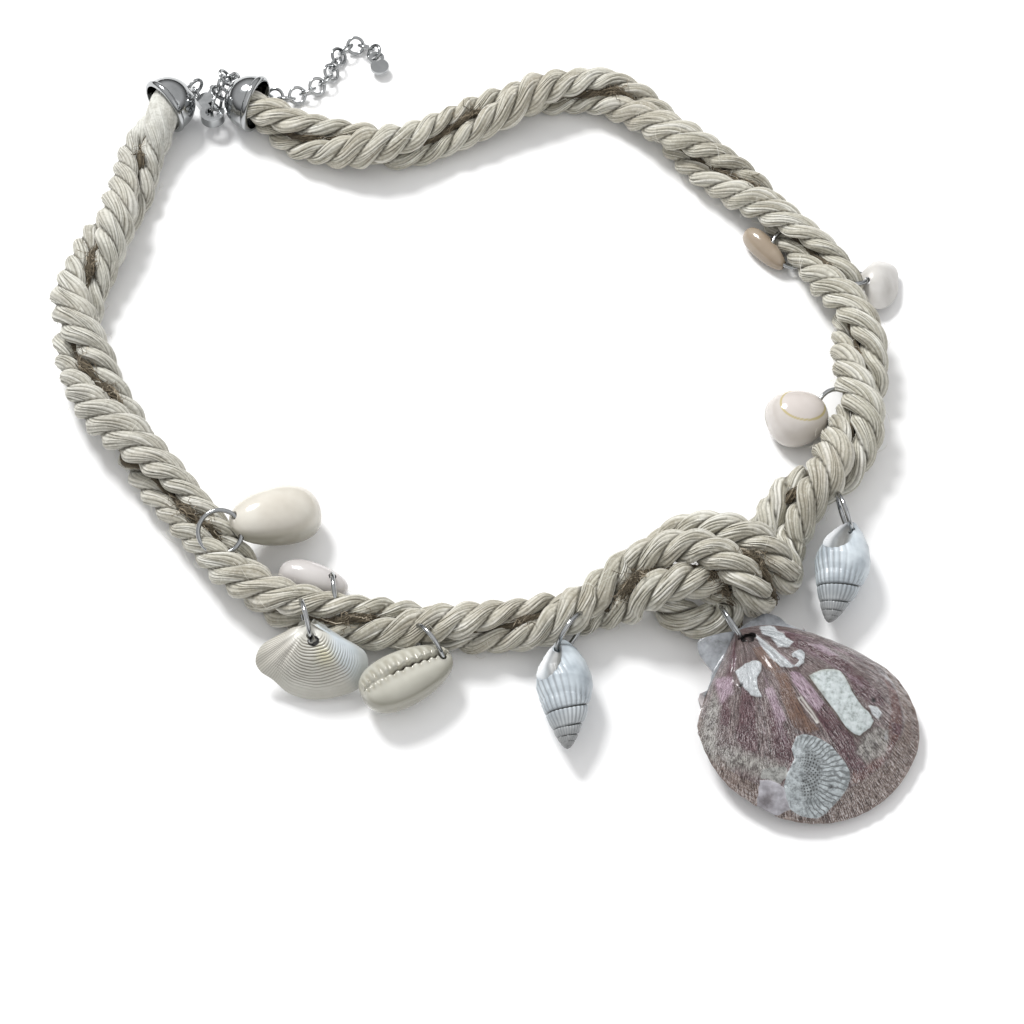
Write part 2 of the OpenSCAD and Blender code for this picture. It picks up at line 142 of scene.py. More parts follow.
class Finish:  # a material and the few node moves that every finish here uses
    def __init__(self, name, roughness, **sockets):
        self.material = bpy.data.materials.new(name)
        self.material.use_nodes = True
        self.nodes = self.material.node_tree.nodes
        self.links = self.material.node_tree.links
        self.shader = self.nodes["Principled BSDF"]
        self.shader.inputs["Roughness"].default_value = roughness
        for socket, value in sockets.items():
            self.shader.inputs[socket.replace("_", " ")].default_value = value
        self.place = self.nodes.new("ShaderNodeTexCoord")

    def feed(self, socket, value):
        if hasattr(value, "is_linked"):
            self.links.new(value, socket)
        else:
            socket.default_value = (*value, 1) if isinstance(value, tuple) else value

    def pattern(self, kind, source, **settings):
        node = self.nodes.new(kind)
        for name, value in settings.items():
            node.inputs[name].default_value = value
        self.links.new(source, node.inputs["Vector"])
        return node.outputs[0 if kind == "ShaderNodeMapping" else "Fac"]

    def noise(self, scale, detail=4, roughness=0.55):
        return self.pattern("ShaderNodeTexNoise", self.place.outputs["Object"],
                            Scale=scale, Detail=detail, Roughness=roughness)

    def grain(self, stretch, detail, roughness):  # noise drawn out along the piece's own UV map
        spread = self.pattern("ShaderNodeMapping", self.place.outputs["UV"], Scale=stretch)
        return self.pattern("ShaderNodeTexNoise", spread, Scale=1, Detail=detail, Roughness=roughness)

    def stripes(self, scale, distortion):
        return self.pattern("ShaderNodeTexWave", self.place.outputs["UV"],
                            Scale=scale, Distortion=distortion, Detail=3)

    def value(self, name):  # a mark that the mesh carries
        node = self.nodes.new("ShaderNodeAttribute")
        node.attribute_name = name
        return node.outputs["Fac"]

    def ramp(self, factor, *stops):
        node = self.nodes.new("ShaderNodeValToRGB")
        band = node.color_ramp
        while len(band.elements) < len(stops):
            band.elements.new(0.5)
        for element, (at, colour) in zip(band.elements, stops):
            element.position = at
            element.color = (*colour, 1) if isinstance(colour, tuple) else (colour, colour, colour, 1)
        self.links.new(factor, node.inputs["Fac"])
        return node.outputs["Color"]

    def mask(self, name, low, high, top=1.0):  # nothing of a mark up to low, top of it from high
        return self.ramp(self.value(name), (low, 0.0), (high, top))

    def layers(self, tone, *covers):  # colours laid over one another, each with its share
        for share, over in covers:
            node = self.nodes.new("ShaderNodeMix")
            node.data_type = "RGBA"
            self.feed(node.inputs["Factor"], share)
            self.feed(node.inputs[6], tone)
            self.feed(node.inputs[7], over)
            tone = node.outputs[2]
        return tone

    def maths(self, kind, first, second=0.0):
        node = self.nodes.new("ShaderNodeMath")
        node.operation = kind
        self.feed(node.inputs[0], first)
        self.feed(node.inputs[1], second)
        return node.outputs[0]

    def times(self, first, second):
        return self.maths("MULTIPLY", first, second)

    def colour(self, output):
        self.links.new(output, self.shader.inputs["Base Color"])

    def rough(self, output):
        self.links.new(output, self.shader.inputs["Roughness"])

    def relief(self, height, strength, distance):
        node = self.nodes.new("ShaderNodeBump")
        node.inputs["Strength"].default_value = strength
        node.inputs["Distance"].default_value = distance
        self.links.new(height, node.inputs["Height"])
        self.links.new(node.outputs["Normal"], self.shader.inputs["Normal"])


def cottonFinish():
    f = Finish("softCotton", 0.88, Sheen_Weight=0.15, Sheen_Roughness=0.5, Specular_IOR_Level=0.25)
    fibres = f.noise(1300, 5, 0.75)
    f.colour(f.layers(
        f.ramp(f.value("yarnTone"), (0.0, (0.33, 0.31, 0.25)), (0.35, (0.5, 0.48, 0.4)),
               (0.7, (0.63, 0.615, 0.54)), (1.0, (0.78, 0.77, 0.71))),
        (f.ramp(f.noise(70), (0.4, 0.0), (0.7, 0.45)), (0.44, 0.39, 0.31)),
        (f.value("bleached"),
         f.ramp(f.noise(260, 4, 0.7), (0.35, (0.42, 0.42, 0.39)), (0.65, (0.68, 0.69, 0.66)))),
        (f.ramp(fibres, (0.5, 0.0), (0.72, 0.5)), (0.82, 0.81, 0.76)),
        (f.ramp(fibres, (0.28, 0.6), (0.45, 0.0)), (0.2, 0.185, 0.14)),
        # painted shade: darker in the gaps between yarns and in the valleys between strands
        (f.ramp(f.value("yarnDepth"), (0.0, 0.8), (1.0, 0.0)), (0.11, 0.098, 0.068)),
        (f.ramp(f.value("strandDepth"), (0.0, 0.92), (0.5, 0.0)), (0.05, 0.044, 0.028))))
    f.relief(fibres, 0.7, 0.0002)
    return f.material


def juteFinish():
    f = Finish("hairyJute", 0.85, Sheen_Weight=0.1, Specular_IOR_Level=0.25)
    f.colour(f.layers(
        f.ramp(f.value("fibreTone"), (0.0, (0.035, 0.027, 0.016)), (0.5, (0.12, 0.095, 0.06)),
               (0.8, (0.27, 0.22, 0.155)), (1.0, (0.6, 0.53, 0.42))),
        (0.25, f.ramp(f.noise(700, 4, 0.7), (0.3, (0.05, 0.04, 0.025)), (0.7, (0.34, 0.29, 0.21))))))
    f.relief(f.noise(1500, 3), 0.4, 0.0001)
    return f.material


def chromeFinish():
    f = Finish("brightPlate", 0.12, Metallic=1.0)
    f.colour(f.ramp(f.noise(160, 3), (0.3, (0.3, 0.31, 0.315)), (0.7, (0.46, 0.47, 0.475))))
    f.rough(f.ramp(f.noise(420, 4, 0.6), (0.35, 0.06), (0.7, 0.18)))
    f.relief(f.noise(260, 2), 0.08, 0.0001)
    return f.material


# Camera, lights and floor

cameraView = dict(target=(0.007, -0.02675, 0.0), distance=0.540, elevation=57, lens=96.4)


def makeCamera():
    data = bpy.data.cameras.new("camera")
    data.lens, data.sensor_width = cameraView["lens"], 36
    data.clip_start, data.clip_end = 0.05, 20
    camera = bpy.data.objects.new("camera", data)
    bpy.context.scene.collection.objects.link(camera)
    e = math.radians(cameraView["elevation"])
    back = Vector((0, -math.cos(e), math.sin(e)))
    camera.location = Vector(cameraView["target"]) + back * cameraView["distance"]
    camera.rotation_mode = "QUATERNION"
    camera.rotation_quaternion = (-back).to_track_quat("-Z", "Y")
    bpy.context.scene.camera = camera


studio = dict(world=0.82, key=7.6, keySize=0.3, keyAt=(-0.34, 0.46, 0.72),
              fill=0.8, fillSize=0.9, fillAt=(0.55, -0.5, 0.6), floorSize=4, floorDown=0.0002,
              greys=[(0.0, 0.6), (1.0, 1.0), (0.55, 0.08), (0.74, 0.9)])  # height of the world's band, grey


def makeLight(name, at, size, watts):
    data = bpy.data.lights.new(name, "AREA")
    data.shape, data.size, data.energy = "DISK", size, watts
    light = bpy.data.objects.new(name, data)
    bpy.context.scene.collection.objects.link(light)
    light.location = at
    light.rotation_mode = "QUATERNION"
    light.rotation_quaternion = (-Vector(at)).to_track_quat("-Z", "Y")


def makeStudio():
    makeLight("keyLight", studio["keyAt"], studio["keySize"], studio["key"])
    makeLight("fillLight", studio["fillAt"], studio["fillSize"], studio["fill"])
    world = bpy.data.worlds.new("studio")
    bpy.context.scene.world = world
    world.use_nodes = True
    nodes, links = world.node_tree.nodes, world.node_tree.links
    place, split = nodes.new("ShaderNodeTexCoord"), nodes.new("ShaderNodeSeparateXYZ")
    band = nodes.new("ShaderNodeValToRGB")  # dark low band, so that the bright metal has something to mirror
    tones = band.color_ramp.elements
    for element, (at, grey) in zip([*tones, tones.new(0.5), tones.new(0.7)], studio["greys"]):
        element.position, element.color = at, (grey, grey, grey * 1.01, 1)
    half = nodes.new("ShaderNodeMath")
    half.operation = "MULTIPLY_ADD"
    half.inputs[1].default_value, half.inputs[2].default_value = 0.5, 0.5
    links.new(place.outputs["Generated"], split.inputs["Vector"])
    links.new(split.outputs["Z"], half.inputs[0])
    links.new(half.outputs[0], band.inputs["Fac"])
    background = nodes["Background"]
    links.new(band.outputs["Color"], background.inputs["Color"])
    background.inputs["Strength"].default_value = studio["world"]
    bpy.context.scene.view_settings.view_transform = "Standard"
    bpy.ops.object.select_all(action="DESELECT")
    bpy.ops.mesh.primitive_plane_add(size=studio["floorSize"], location=(0, 0, -studio["floorDown"]))
    floor = bpy.context.object
    floor.name = "floor"
    f = Finish("paleFloor", 0.9, Specular_IOR_Level=0.1)
    f.colour(f.ramp(f.noise(3, 2), (0.3, (0.93, 0.93, 0.93)), (0.7, (0.95, 0.95, 0.95))))
    floor.data.materials.append(f.material)


# Ropes and twines: the lines repeat the construction's tables, in its own millimetres.

rope = dict(round=6.8, thick=6.0, wide=8.8, off=3.1, lie=6.1, capMiddle=6.3, lay=15.4, yarns=33,
            yarnSides=3, yarnTurn=0.46, strands=3, lobe=0.45, wander=0.25, wanderStep=9,
            glueFrom=5, glueTo=15, glued=0.94, yarnGap=0.04, yarnGapMore=0.42, yarnLift=0.24,
            fuzz=420, fuzzKnots=5, fuzzThick=0.035)
twine = dict(thick=2.2, off=4.1, sunk=0.2, buried=2.3, lay=6.5, sides=14, rough=0.07, fibres=800,
             fibreKnots=8, tangle=42, curlReach=2.2)
twineShows = [  # x, y, reach: where the twine works its way up between the ropes
    (-86.1, 54.9, 3.3), (-91.7, 44.4, 1.7), (-85.1, 28.6, 3), (-79.1, 23.2, 3.5), (-76.5, 7.6, 1.7),
    (-62.6, -4.6, 3), (-57.6, -7.3, 2.8), (-30.9, -28.6, 4.3), (3.4, -30.8, 2.6), (22.5, -23, 3),
    (37.6, -23.4, 3), (46.5, -19, 2.6), (56, -2.5, 2.2), (70.8, 7.6, 2.2), (66.3, 28.6, 2.6),
    (73.4, 32.6, 2.2), (63, 52.9, 3), (44, 76.7, 3.3), (49.7, 74.8, 3), (16.7, 101.1, 3), (22.1, 102.2, 3),
    (-16.4, 93.2, 3), (-10, 96.6, 2.6), (-44.8, 87.6, 3.5), (-34.2, 84.9, 4.3), (-78.8, 84.1, 1.7)]

leftRun = [  # x, y, turn, size
    [-73.3, 100.9, -100, .74], [-76, 95.4, -60, .8], [-79, 86.5, 0, .8], [-80.6, 76, 65, .84],
    [-83.9, 66, 125, .96], [-86.6, 57.5, 180, .88], [-88.8, 49, 230, .93], [-88.4, 40, 280, 1],
    [-85.6, 31.3, 335, .97], [-81.8, 22.4, 385, .98], [-75.9, 13.6, 430, 1], [-69.9, 5.4, 475, .9],
    [-63, -3.4, 520, .82], [-56.8, -11.5, 560, .84], [-50.7, -19.2, 600, .86], [-43, -24.4, 635, .84],
    [-34.5, -27.2, 675, .83], [-25, -28.6, 725, .82], [-15.5, -29, 780, .86], [-6, -29.4, 835, .83],
    [3.5, -28.4, 895, .83], [10, -26.6, 950, .9], [16, -24.4, 1010, .9]]
rightRun = [
    [55.4, -1.4, 15, .98], [63.4, 6.7, 110, .98], [68, 15.5, 210, .96], [69.6, 24.5, 295, .9],
    [70.2, 35, 385, .94], [69.2, 45.5, 460, .86], [65.6, 55, 535, .88], [60.3, 64, 600, .77],
    [53.4, 73.1, 670, .8], [45.2, 81.2, 740, .86], [36.6, 89.8, 815, .88], [29, 98.6, 875, .82],
    [21, 104.5, 935, .84], [12.5, 105.4, 980, .8], [4, 103.6, 1020, .9], [-4.5, 99.2, 1065, .83],
    [-13, 94.4, 1105, .8], [-21.5, 90.2, 1160, .82], [-30, 89.2, 1215, .95], [-39, 90.6, 1275, .86],
    [-46.4, 93.4, 1325, .83], [-51.4, 97, 1362, .8], [-56.9, 100.7, 1400, .74]]
knotA = [  # x, y, z
    [21.4, -25.8, 6.4], [25, -25, 9.6], [29, -24, 11.4], [33, -22.6, 11.2], [37, -21.8, 8.8],
    [40.2, -22.6, 6.2], [41.2, -24.8, 4.6], [39.2, -26.9, 3.9], [35.6, -27.1, 3.7], [32, -26, 3.7],
    [29.6, -23.4, 3.7], [28.1, -20, 3.7], [27.6, -16, 3.8], [28, -12.8, 4.8], [30.6, -10.8, 7.4],
    [34.8, -11, 10.6], [39.6, -12, 12.6], [44.3, -13.7, 12.9], [48, -15.8, 12.2], [50.6, -18, 10.4],
    [51.7, -18.8, 7.6], [52.3, -17.8, 4.6], [52.8, -13.6, 3.6], [54.2, -8.8, 4.2]]
knotB = [
    [21.5, -19.2, 9.6], [26, -17.5, 11.8], [30.8, -16.6, 13.2], [35.4, -17, 13.9], [39.4, -18.9, 13.9],
    [42.6, -21.8, 13.3], [45, -24, 11.6], [46.3, -24.6, 8.4], [46.7, -23.4, 5.2], [46.4, -20.6, 3.7],
    [46.2, -15.6, 3.6], [47.4, -9.8, 4]]
knotTwineA = [
    [19.2, -27.2, 9.4], [21.8, -24.4, 11.5], [25, -21.9, 13], [28.8, -20.6, 13.7], [32.8, -20.2, 13.8],
    [36.4, -20.7, 13], [38.9, -22.2, 11.2], [41, -24.4, 9.4], [42.8, -26.2, 7.2], [43.4, -27.4, 4],
    [43.2, -26, 1.35], [42.2, -22.4, 1.3], [41.4, -17, 1.4], [42.6, -12, 2], [45.6, -8.6, 2.6],
    [49.4, -5.6, 4.4], [52.2, -2.8, 8]]
knotTwineB = [
    [18.4, -18.2, 6.8], [21.4, -16.6, 8.2], [25, -15.3, 9.6], [28.8, -14.6, 10.9],
    [32.8, -14.4, 12.8], [37, -14.9, 15], [41.8, -17.3, 15.2], [45.8, -19.8, 14.6], [48.4, -22.2, 12],
    [50, -23.8, 8.4], [50, -22, 4.4], [49.8, -18, 1.5], [50, -13, 1.3], [51.6, -7.6, 1.3]]


def smoothRows(rows, steps):  # a curve through the rows of a table
    rows = np.asarray(rows, float)
    rows = np.vstack([2 * rows[0] - rows[1], rows, 2 * rows[-1] - rows[-2]])
    a, b, c, d = rows[:-3], rows[1:-2], rows[2:-1], rows[3:]
    parts = [0.5 * (2 * b + (c - a) * t + (2 * a - 5 * b + 4 * c - d) * t * t
                    + (3 * b - a - 3 * c + d) * t ** 3) for t in np.arange(steps) / steps]
    return np.vstack([np.stack(parts, 1).reshape(-1, rows.shape[1]), rows[-2:-1]])


def unit(v):
    return v / np.maximum(np.linalg.norm(v, axis=-1, keepdims=True), 1e-9)


def headings(line):
    ends = np.vstack([line[:1], line, line[-1:]])
    return unit(ends[2:] - ends[:-2])


def pairRows(table, cap, off, groove):  # place, direction of the pair's radius, size, how tight
    rows = smoothRows(table, 2)
    reach = np.linalg.norm(rows[:, :2] - np.array(cap[:2]), axis=1)
    height = np.maximum(rope["lie"] * rows[:, 3], rope["capMiddle"] - reach / 10)
    line = np.column_stack([rows[:, :2], height])
    up = np.array([0.0, 0, 1])
    side = np.cross(up, headings(line))
    phase = np.radians(180 - rows[:, 2])[:, None]
    radial = side * np.cos(phase) + up * np.sin(phase)
    if groove:
        radial = up * np.cos(phase) - side * np.sin(phase)
    size = rows[:, 3:4]
    return np.hstack([line + radial * off * size, radial, size, np.ones_like(size)])


def wholeLine(off, knotRows, groove=False):
    knot = smoothRows(knotRows, 2)
    knot = np.hstack([knot, np.zeros_like(knot), np.ones((len(knot), 1)), np.zeros((len(knot), 1))])
    rows = np.vstack([pairRows(leftRun, leftRun[0], off, groove), knot,
                      pairRows(rightRun, rightRun[-1], off, groove)])
    return smoothRows(rows, 6)


def carriedFrame(line):
    along = headings(line)
    first = unit(np.array([0, 0, 1.0]) - along[0] * along[0][2])
    u = np.empty_like(line)
    u[0] = first
    for i in range(1, len(line)):
        u[i] = unit(u[i - 1] - along[i] * (along[i] @ u[i - 1]))
    return u, np.cross(along, u)


def runLength(line):
    return np.concatenate([[0], np.cumsum(np.linalg.norm(np.diff(line, axis=0), axis=1))])


def sampled(values, length, at):
    return np.stack([np.interp(at, length, values[:, k]) for k in range(3)], -1)


def roundLine(line, u, v, radius, angle):  # points at a distance and an angle round a line
    return line + radius[..., None] * (u * np.cos(angle)[..., None] + v * np.sin(angle)[..., None])


def tubeFaces(rings, sides):
    i, j = np.meshgrid(np.arange(rings - 1), np.arange(sides), indexing="ij")
    k = (j + 1) % sides
    quads = np.stack([i * sides + j, i * sides + k, (i + 1) * sides + k, (i + 1) * sides + j], -1)
    return quads.reshape(-1, 4)


def closedTube(rings, sides):
    ends = [list(range(sides))[::-1], list(range((rings - 1) * sides, rings * sides))]
    return tubeFaces(rings, sides).tolist() + ends


def slowWave(length, step, seed):  # gentle wander along a rope, between -1 and 1
    dots = np.random.default_rng(seed).uniform(-1, 1, int(length[-1] / step) + 4)
    return np.interp(length / step, np.arange(len(dots)), dots)


def makeRope(name, off, knotRows, start, seed):
    rows = wholeLine(off, knotRows)
    line, axis, size, tight = rows[:, :3], rows[:, 3:6], rows[:, 6], np.clip(rows[:, 7], 0, 1)
    u, v = carriedFrame(line)
    length = runLength(line)
    far = length[:, None]
    columns, wedge = rope["yarns"] * rope["yarnSides"], tau / rope["strands"]
    around = (np.arange(columns) * tau / columns)[None, :]
    turn = np.arctan2((axis * v).sum(1), (axis * u).sum(1))
    thin, wide = ((rope["round"] * (1 - tight) + rope[way] * tight) / 2 * size for way in ("thick", "wide"))
    lays = far / rope["lay"] * tau
    angle = around - rope["yarnTurn"] * lays \
        + 0.06 * np.sin(5 * around + far / 6 + seed) + 0.045 * np.sin(8 * around - far / 3.4)
    a = angle - turn[:, None]
    oval = (thin * wide)[:, None] / np.hypot(wide[:, None] * np.cos(a), thin[:, None] * np.sin(a))
    twist = start - lays + rope["wander"] * slowWave(length, rope["wanderStep"], seed)[:, None]
    strand = (angle - twist) / wedge
    delta = (strand - np.floor(strand) - 0.5) * wedge  # angle from the middle of its strand
    stand, roundness = rope["lobe"], 1 - rope["lobe"]
    lobe = stand * np.cos(delta) + np.sqrt(roundness ** 2 - (stand * np.sin(delta)) ** 2)
    lobe = lobe * (1 + 0.035 * np.sin(np.floor(strand) * 2.1 + far / 13))
    glued = 1 - ease(rope["glueFrom"], rope["glueTo"], far)  # the left end is bound smooth inside its cap
    lobe = lobe * (1 - glued) + rope["glued"] * glued
    column = np.arange(columns)[None, :] + np.floor(strand).astype(int) % rope["strands"]
    valley = (column % rope["yarnSides"] == 0) * (1 - 0.8 * glued)  # the gap between two yarns
    depth = ease(0.62, 0.86, lobe)  # 0 between two strands
    yarn = (column // rope["yarnSides"]) % rope["yarns"]

    def perYarn(every, salt):  # a number for each yarn that changes slowly along it
        patches = np.random.default_rng(seed + salt).uniform(0, 1, (len(line) // every + 3, rope["yarns"]))
        rowsAt = np.arange(len(line)) / every
        low = rowsAt.astype(int)
        share = (rowsAt - low)[:, None]
        return np.take_along_axis(patches[low] * (1 - share) + patches[low + 1] * share, yarn, 1)
    tone, deep = perYarn(6, 5), perYarn(4, 8)
    opened = (rope["yarnGap"] + rope["yarnGapMore"] * deep) * (0.35 + 0.65 * depth)
    radius = oval * (0.045 + lobe) - valley * opened * size[:, None]
    radius += rope["yarnLift"] * (tone - 0.5) * depth * (1 - valley)
    angle = angle + 0.03 * (perYarn(3, 11) - 0.5) * depth
    points = roundLine(line[:, None], u[:, None], v[:, None], radius, angle).reshape(-1, 3)
    points[:, 2] = np.maximum(points[:, 2], 0.03)
    hairs = ropeFuzz(line, u, v, np.maximum(thin, wide), length, seed)
    faces = closedTube(len(line), columns) + (hairs["faces"] + len(points)).tolist()
    piece = meshPiece(name, toMetres(np.vstack([points, hairs["points"]])), faces)
    bleached = np.maximum(0.7 * (1 - ease(8, 50, length)), 0.35 * (1 - ease(90, 150, length)))
    # the two depth marks paint shade into the gaps between yarns and the valleys between strands
    for label, values, onHairs in [
            ("strandDepth", depth, 1.0), ("yarnDepth", 1.0 - valley * (0.35 + 0.65 * deep), 1.0),
            ("yarnTone", tone, 0.9), ("bleached", np.repeat(bleached, columns), 0.0)]:
        mark(piece, label, np.concatenate([values.ravel(), np.full(len(hairs["points"]), onHairs)]))
    smooth(piece, 80)
    return piece


def hairTubes(paths, thick):  # thin three-sided hairs; paths is hairs x points x 3
    count, knots, _ = paths.shape
    along = unit(np.gradient(paths, axis=1))
    side = unit(np.cross(along, np.array([0.13, 0.31, 0.94])))
    other = np.cross(along, side)
    taper = np.interp(np.linspace(0, 1, knots), [0, 0.15, 0.8, 1], [0.5, 1, 0.9, 0.25])
    rims = [paths + (thick[:, None] * taper[None, :])[..., None]
            * (side * math.cos(b) + other * math.sin(b)) for b in (0, tau / 3, 2 * tau / 3)]
    points = np.stack(rims, 2).reshape(-1, 3)
    one = tubeFaces(knots, 3)
    faces = (one[None] + (np.arange(count) * knots * 3)[:, None, None]).reshape(-1, 4)
    return dict(points=points, faces=faces, perHair=knots * 3)


def ropeFuzz(line, u, v, reach, length, seed):  # a few stray cotton hairs that stand off the rope
    rng = np.random.default_rng(seed + 20)
    count, knots = rope["fuzz"], rope["fuzzKnots"]
    s = rng.uniform(6, length[-1] - 6, count)
    b = rng.uniform(0, tau, count)
    run = rng.normal(0, 2.2, count)
    lift = rng.uniform(0.25, 1.1, count)
    t = np.linspace(0, 1, knots)
    at = s[:, None] + run[:, None] * t
    angle = b[:, None] + rng.normal(0, 0.5, count)[:, None] * t
    r = np.interp(at, length, reach) * 0.86 + lift[:, None] * np.sin(t * 2.2)
    paths = roundLine(*(sampled(values, length, at) for values in (line, u, v)), r, angle)
    paths[..., 2] = np.maximum(paths[..., 2], 0.1)
    return hairTubes(paths, np.full(count, rope["fuzzThick"]))


def twineFibres(rng, line, u, v, length, shows, size):  # hairs laid round the twine, some of them loose
    count, knots = twine["fibres"], twine["fibreKnots"]
    t = np.linspace(0, 1, knots)
    weight = np.cumsum(0.08 + shows)  # most of them where the twine shows
    s = np.clip(np.interp(rng.uniform(0, weight[-1], count), weight, length), 3, length[-1] - 3)
    run = rng.uniform(3, 7.5, count) * rng.choice([-1, 1], count)
    at = np.clip(s[:, None] + run[:, None] * (t - 0.5), 1.5, length[-1] - 1.5)
    spin = rng.normal(-0.34, 0.5, count)
    angle = rng.uniform(0, tau, count)[:, None] + spin[:, None] * run[:, None] * (t - 0.5) \
        + 0.25 * np.cumsum(rng.standard_normal((count, knots)), 1)
    stray = rng.random(count) < 0.05 + 0.22 * np.interp(s, length, shows)
    base = rng.uniform(0.6, 1.2, count) * twine["thick"] / 2 * np.interp(s, length, size)
    off = np.where(stray, rng.uniform(0.5, 1.8, count), 0)
    r = base[:, None] * (0.75 + 0.25 * np.sin(t * math.pi)) + off[:, None] * t ** 2 \
        + 0.1 * rng.standard_normal((count, knots))
    paths = roundLine(*(sampled(values, length, at) for values in (line, u, v)), r, angle)
    thick = np.where(stray, 0.055, rng.uniform(0.06, 0.14, count))
    return paths, thick, rng.beta(1.1, 1.3, count)


def twineCurls(rng, line, length, upright):  # curled ends that stand up where the twine shows on top
    chance = np.cumsum(upright)
    many = int(twine["tangle"] * chance[-1] * (length[-1] / len(length)) / 6)
    s = np.interp(rng.uniform(0, chance[-1], many), chance, length)
    shape = (many, twine["fibreKnots"], 3)
    curls = np.cumsum(rng.normal(0, 0.36, shape) + rng.normal(0, 0.2, (many, 1, 3)), axis=1)
    start = sampled(line, length, s) + rng.normal(0, 0.6, (many, 3)) + np.array([0, 0, 0.8])
    reach = twine["curlReach"]
    paths = start[:, None, :] + np.clip(curls * np.array([1, 1, 0.45]), -reach, reach)
    return paths, rng.uniform(0.045, 0.09, many), rng.beta(1.1, 1.0, many)


def makeTwine(name, off, knotRows, seed):
    rows = wholeLine(off, knotRows, True)
    centre = rows[:, :3]
    shows = np.zeros(len(rows))
    for x, y, reach in twineShows:
        shows = np.maximum(shows, np.exp(-(np.hypot(centre[:, 0] - x, centre[:, 1] - y) / reach / 1.2) ** 2))
    inKnot = 1 - np.clip(rows[:, 7:], 0, 1)  # there it sinks
    outwards = rows[:, 3:6] * np.sign(off) + inKnot * np.array([0, 0, 0.9])
    line = centre - outwards * (twine["sunk"] + twine["buried"] * (1 - shows))[:, None]
    size = rows[:, 6] * (0.72 + 0.28 * shows)
    u, v = carriedFrame(line)
    length = runLength(line)
    rng = np.random.default_rng(seed)
    sides = twine["sides"]
    around = (np.arange(sides) * tau / sides)[None, :]
    ply = np.abs(np.cos(around + (length / twine["lay"] * tau)[:, None]))
    radius = twine["thick"] / 2 * size[:, None] * (0.45 + 0.3 * ply) \
        + twine["rough"] * rng.standard_normal((len(line), sides))
    core = roundLine(line[:, None], u[:, None], v[:, None], radius, around).reshape(-1, 3)
    core[:, 2] = np.maximum(core[:, 2], 0.05)
    fibres = twineFibres(rng, line, u, v, length, shows, size)
    curls = twineCurls(rng, line, length, shows ** 2 * (centre[:, 2] > 7.8))
    paths, thick, tone = (np.concatenate(both) for both in zip(fibres, curls))
    paths[..., 2] = np.maximum(paths[..., 2], 0.2)
    hairs = hairTubes(paths, thick)
    faces = closedTube(len(line), sides) + (hairs["faces"] + len(core)).tolist()
    piece = meshPiece(name, toMetres(np.vstack([core, hairs["points"]])), faces)
    shade = 0.12 + 0.1 * rng.standard_normal(len(core))
    mark(piece, "fibreTone", np.concatenate([shade, np.repeat(tone, hairs["perHair"])]))
    smooth(piece, 60)
    print(name, "curled ends:", len(curls[1]))
    return piece


# Shells: each is shaped in its own millimetres and then put at its place in the necklace.

hangs = dict(  # ring's middle, turn of its plane, its lean from upright
    scallop_pendant=((41.5, -31.6, 9.3), 118, 17), whelk_left=((11.1, -31.3, 6.6), 53, 0),
    whelk_right=((64.4, -5.3, 7.4), 105, 9), clam=((-38.7, -30.9, 9.6), 105, 0),
    clam_far=((69.4, 55, 4.2), 177, 55), cowrie_left=((-56, -10.8, 9.6), 14, 60),
    cowrie_front=((-15.5, -34.2, 7), 128, 0), cowrie_right=((65.3, 21.6, 4.4), 20, 70),
    cowrie_far=((58.4, 63.4, 3.4), 15, 70), cowrie_hidden=((-33.9, -22.3, 5), 97, 0))
ring = dict(radius=4.2, wire=0.9, play=0.6)


def cutRingChannel(piece, node):  # the wire ring runs through a channel in its shell
    place, turn, lean = hangs[node]
    bpy.ops.object.select_all(action="DESELECT")
    bpy.ops.mesh.primitive_torus_add(major_segments=60, minor_segments=14, major_radius=ring["radius"] * mm,
                                     minor_radius=(ring["wire"] + ring["play"]) / 2 * mm)
    cutter = bpy.context.object
    spin = Matrix(turned(z=turn).tolist()) @ Matrix(turned(x=90 - lean).tolist())
    cutter.data.transform(Matrix.Translation(Vector(toMetres(place))) @ spin.to_4x4())
    carve(piece, cutter)


def carve(piece, cutter):
    modifier = piece.modifiers.new("carve", "BOOLEAN")
    modifier.object, modifier.operation, modifier.solver = cutter, "DIFFERENCE", "MANIFOLD"
    applyAll(piece)
    bpy.data.objects.remove(cutter)


def drill(piece, at, towards, width, deep=0.95):  # a hole sunk square to the surface, with painted shade on its walls and rim
    bpy.ops.object.select_all(action="DESELECT")
    tall = 4
    bpy.ops.mesh.primitive_cylinder_add(vertices=40, radius=width / 2 * mm, depth=tall * mm)
    cutter = bpy.context.object
    axis = unit(np.array(towards, float))
    stand = Vector(axis).to_track_quat("Z", "Y").to_matrix().to_4x4()
    cutter.data.transform(Matrix.Translation(Vector(toMetres(at + axis * (tall / 2 - deep)))) @ stand)
    carve(piece, cutter)
    away = corners(piece) - toMetres(at)
    away = np.linalg.norm(away - (away @ axis)[:, None] * axis, axis=1) / mm
    well = np.empty(len(away))
    piece.data.attributes["well"].data.foreach_get("value", well)
    mark(piece, "well", np.maximum(well, away < width / 2 + 0.12))


def gridPiece(name, columns, rows):  # flat sheet whose two directions run 0 to 1
    bpy.ops.object.select_all(action="DESELECT")
    bpy.ops.mesh.primitive_grid_add(x_subdivisions=columns, y_subdivisions=rows, size=1)
    piece = bpy.context.object
    piece.name = piece.data.name = name
    place = corners(piece) + 0.5
    return piece, place[:, 0], place[:, 1]


def eggPiece(name, segments, rings):  # ball whose poles are the shell's two ends
    bpy.ops.object.select_all(action="DESELECT")
    bpy.ops.mesh.primitive_uv_sphere_add(segments=segments, ring_count=rings, radius=1)
    piece = bpy.context.object
    piece.name = piece.data.name = name
    place = corners(piece)
    return piece, np.arccos(np.clip(place[:, 2], -1, 1)), np.arctan2(place[:, 1], place[:, 0])


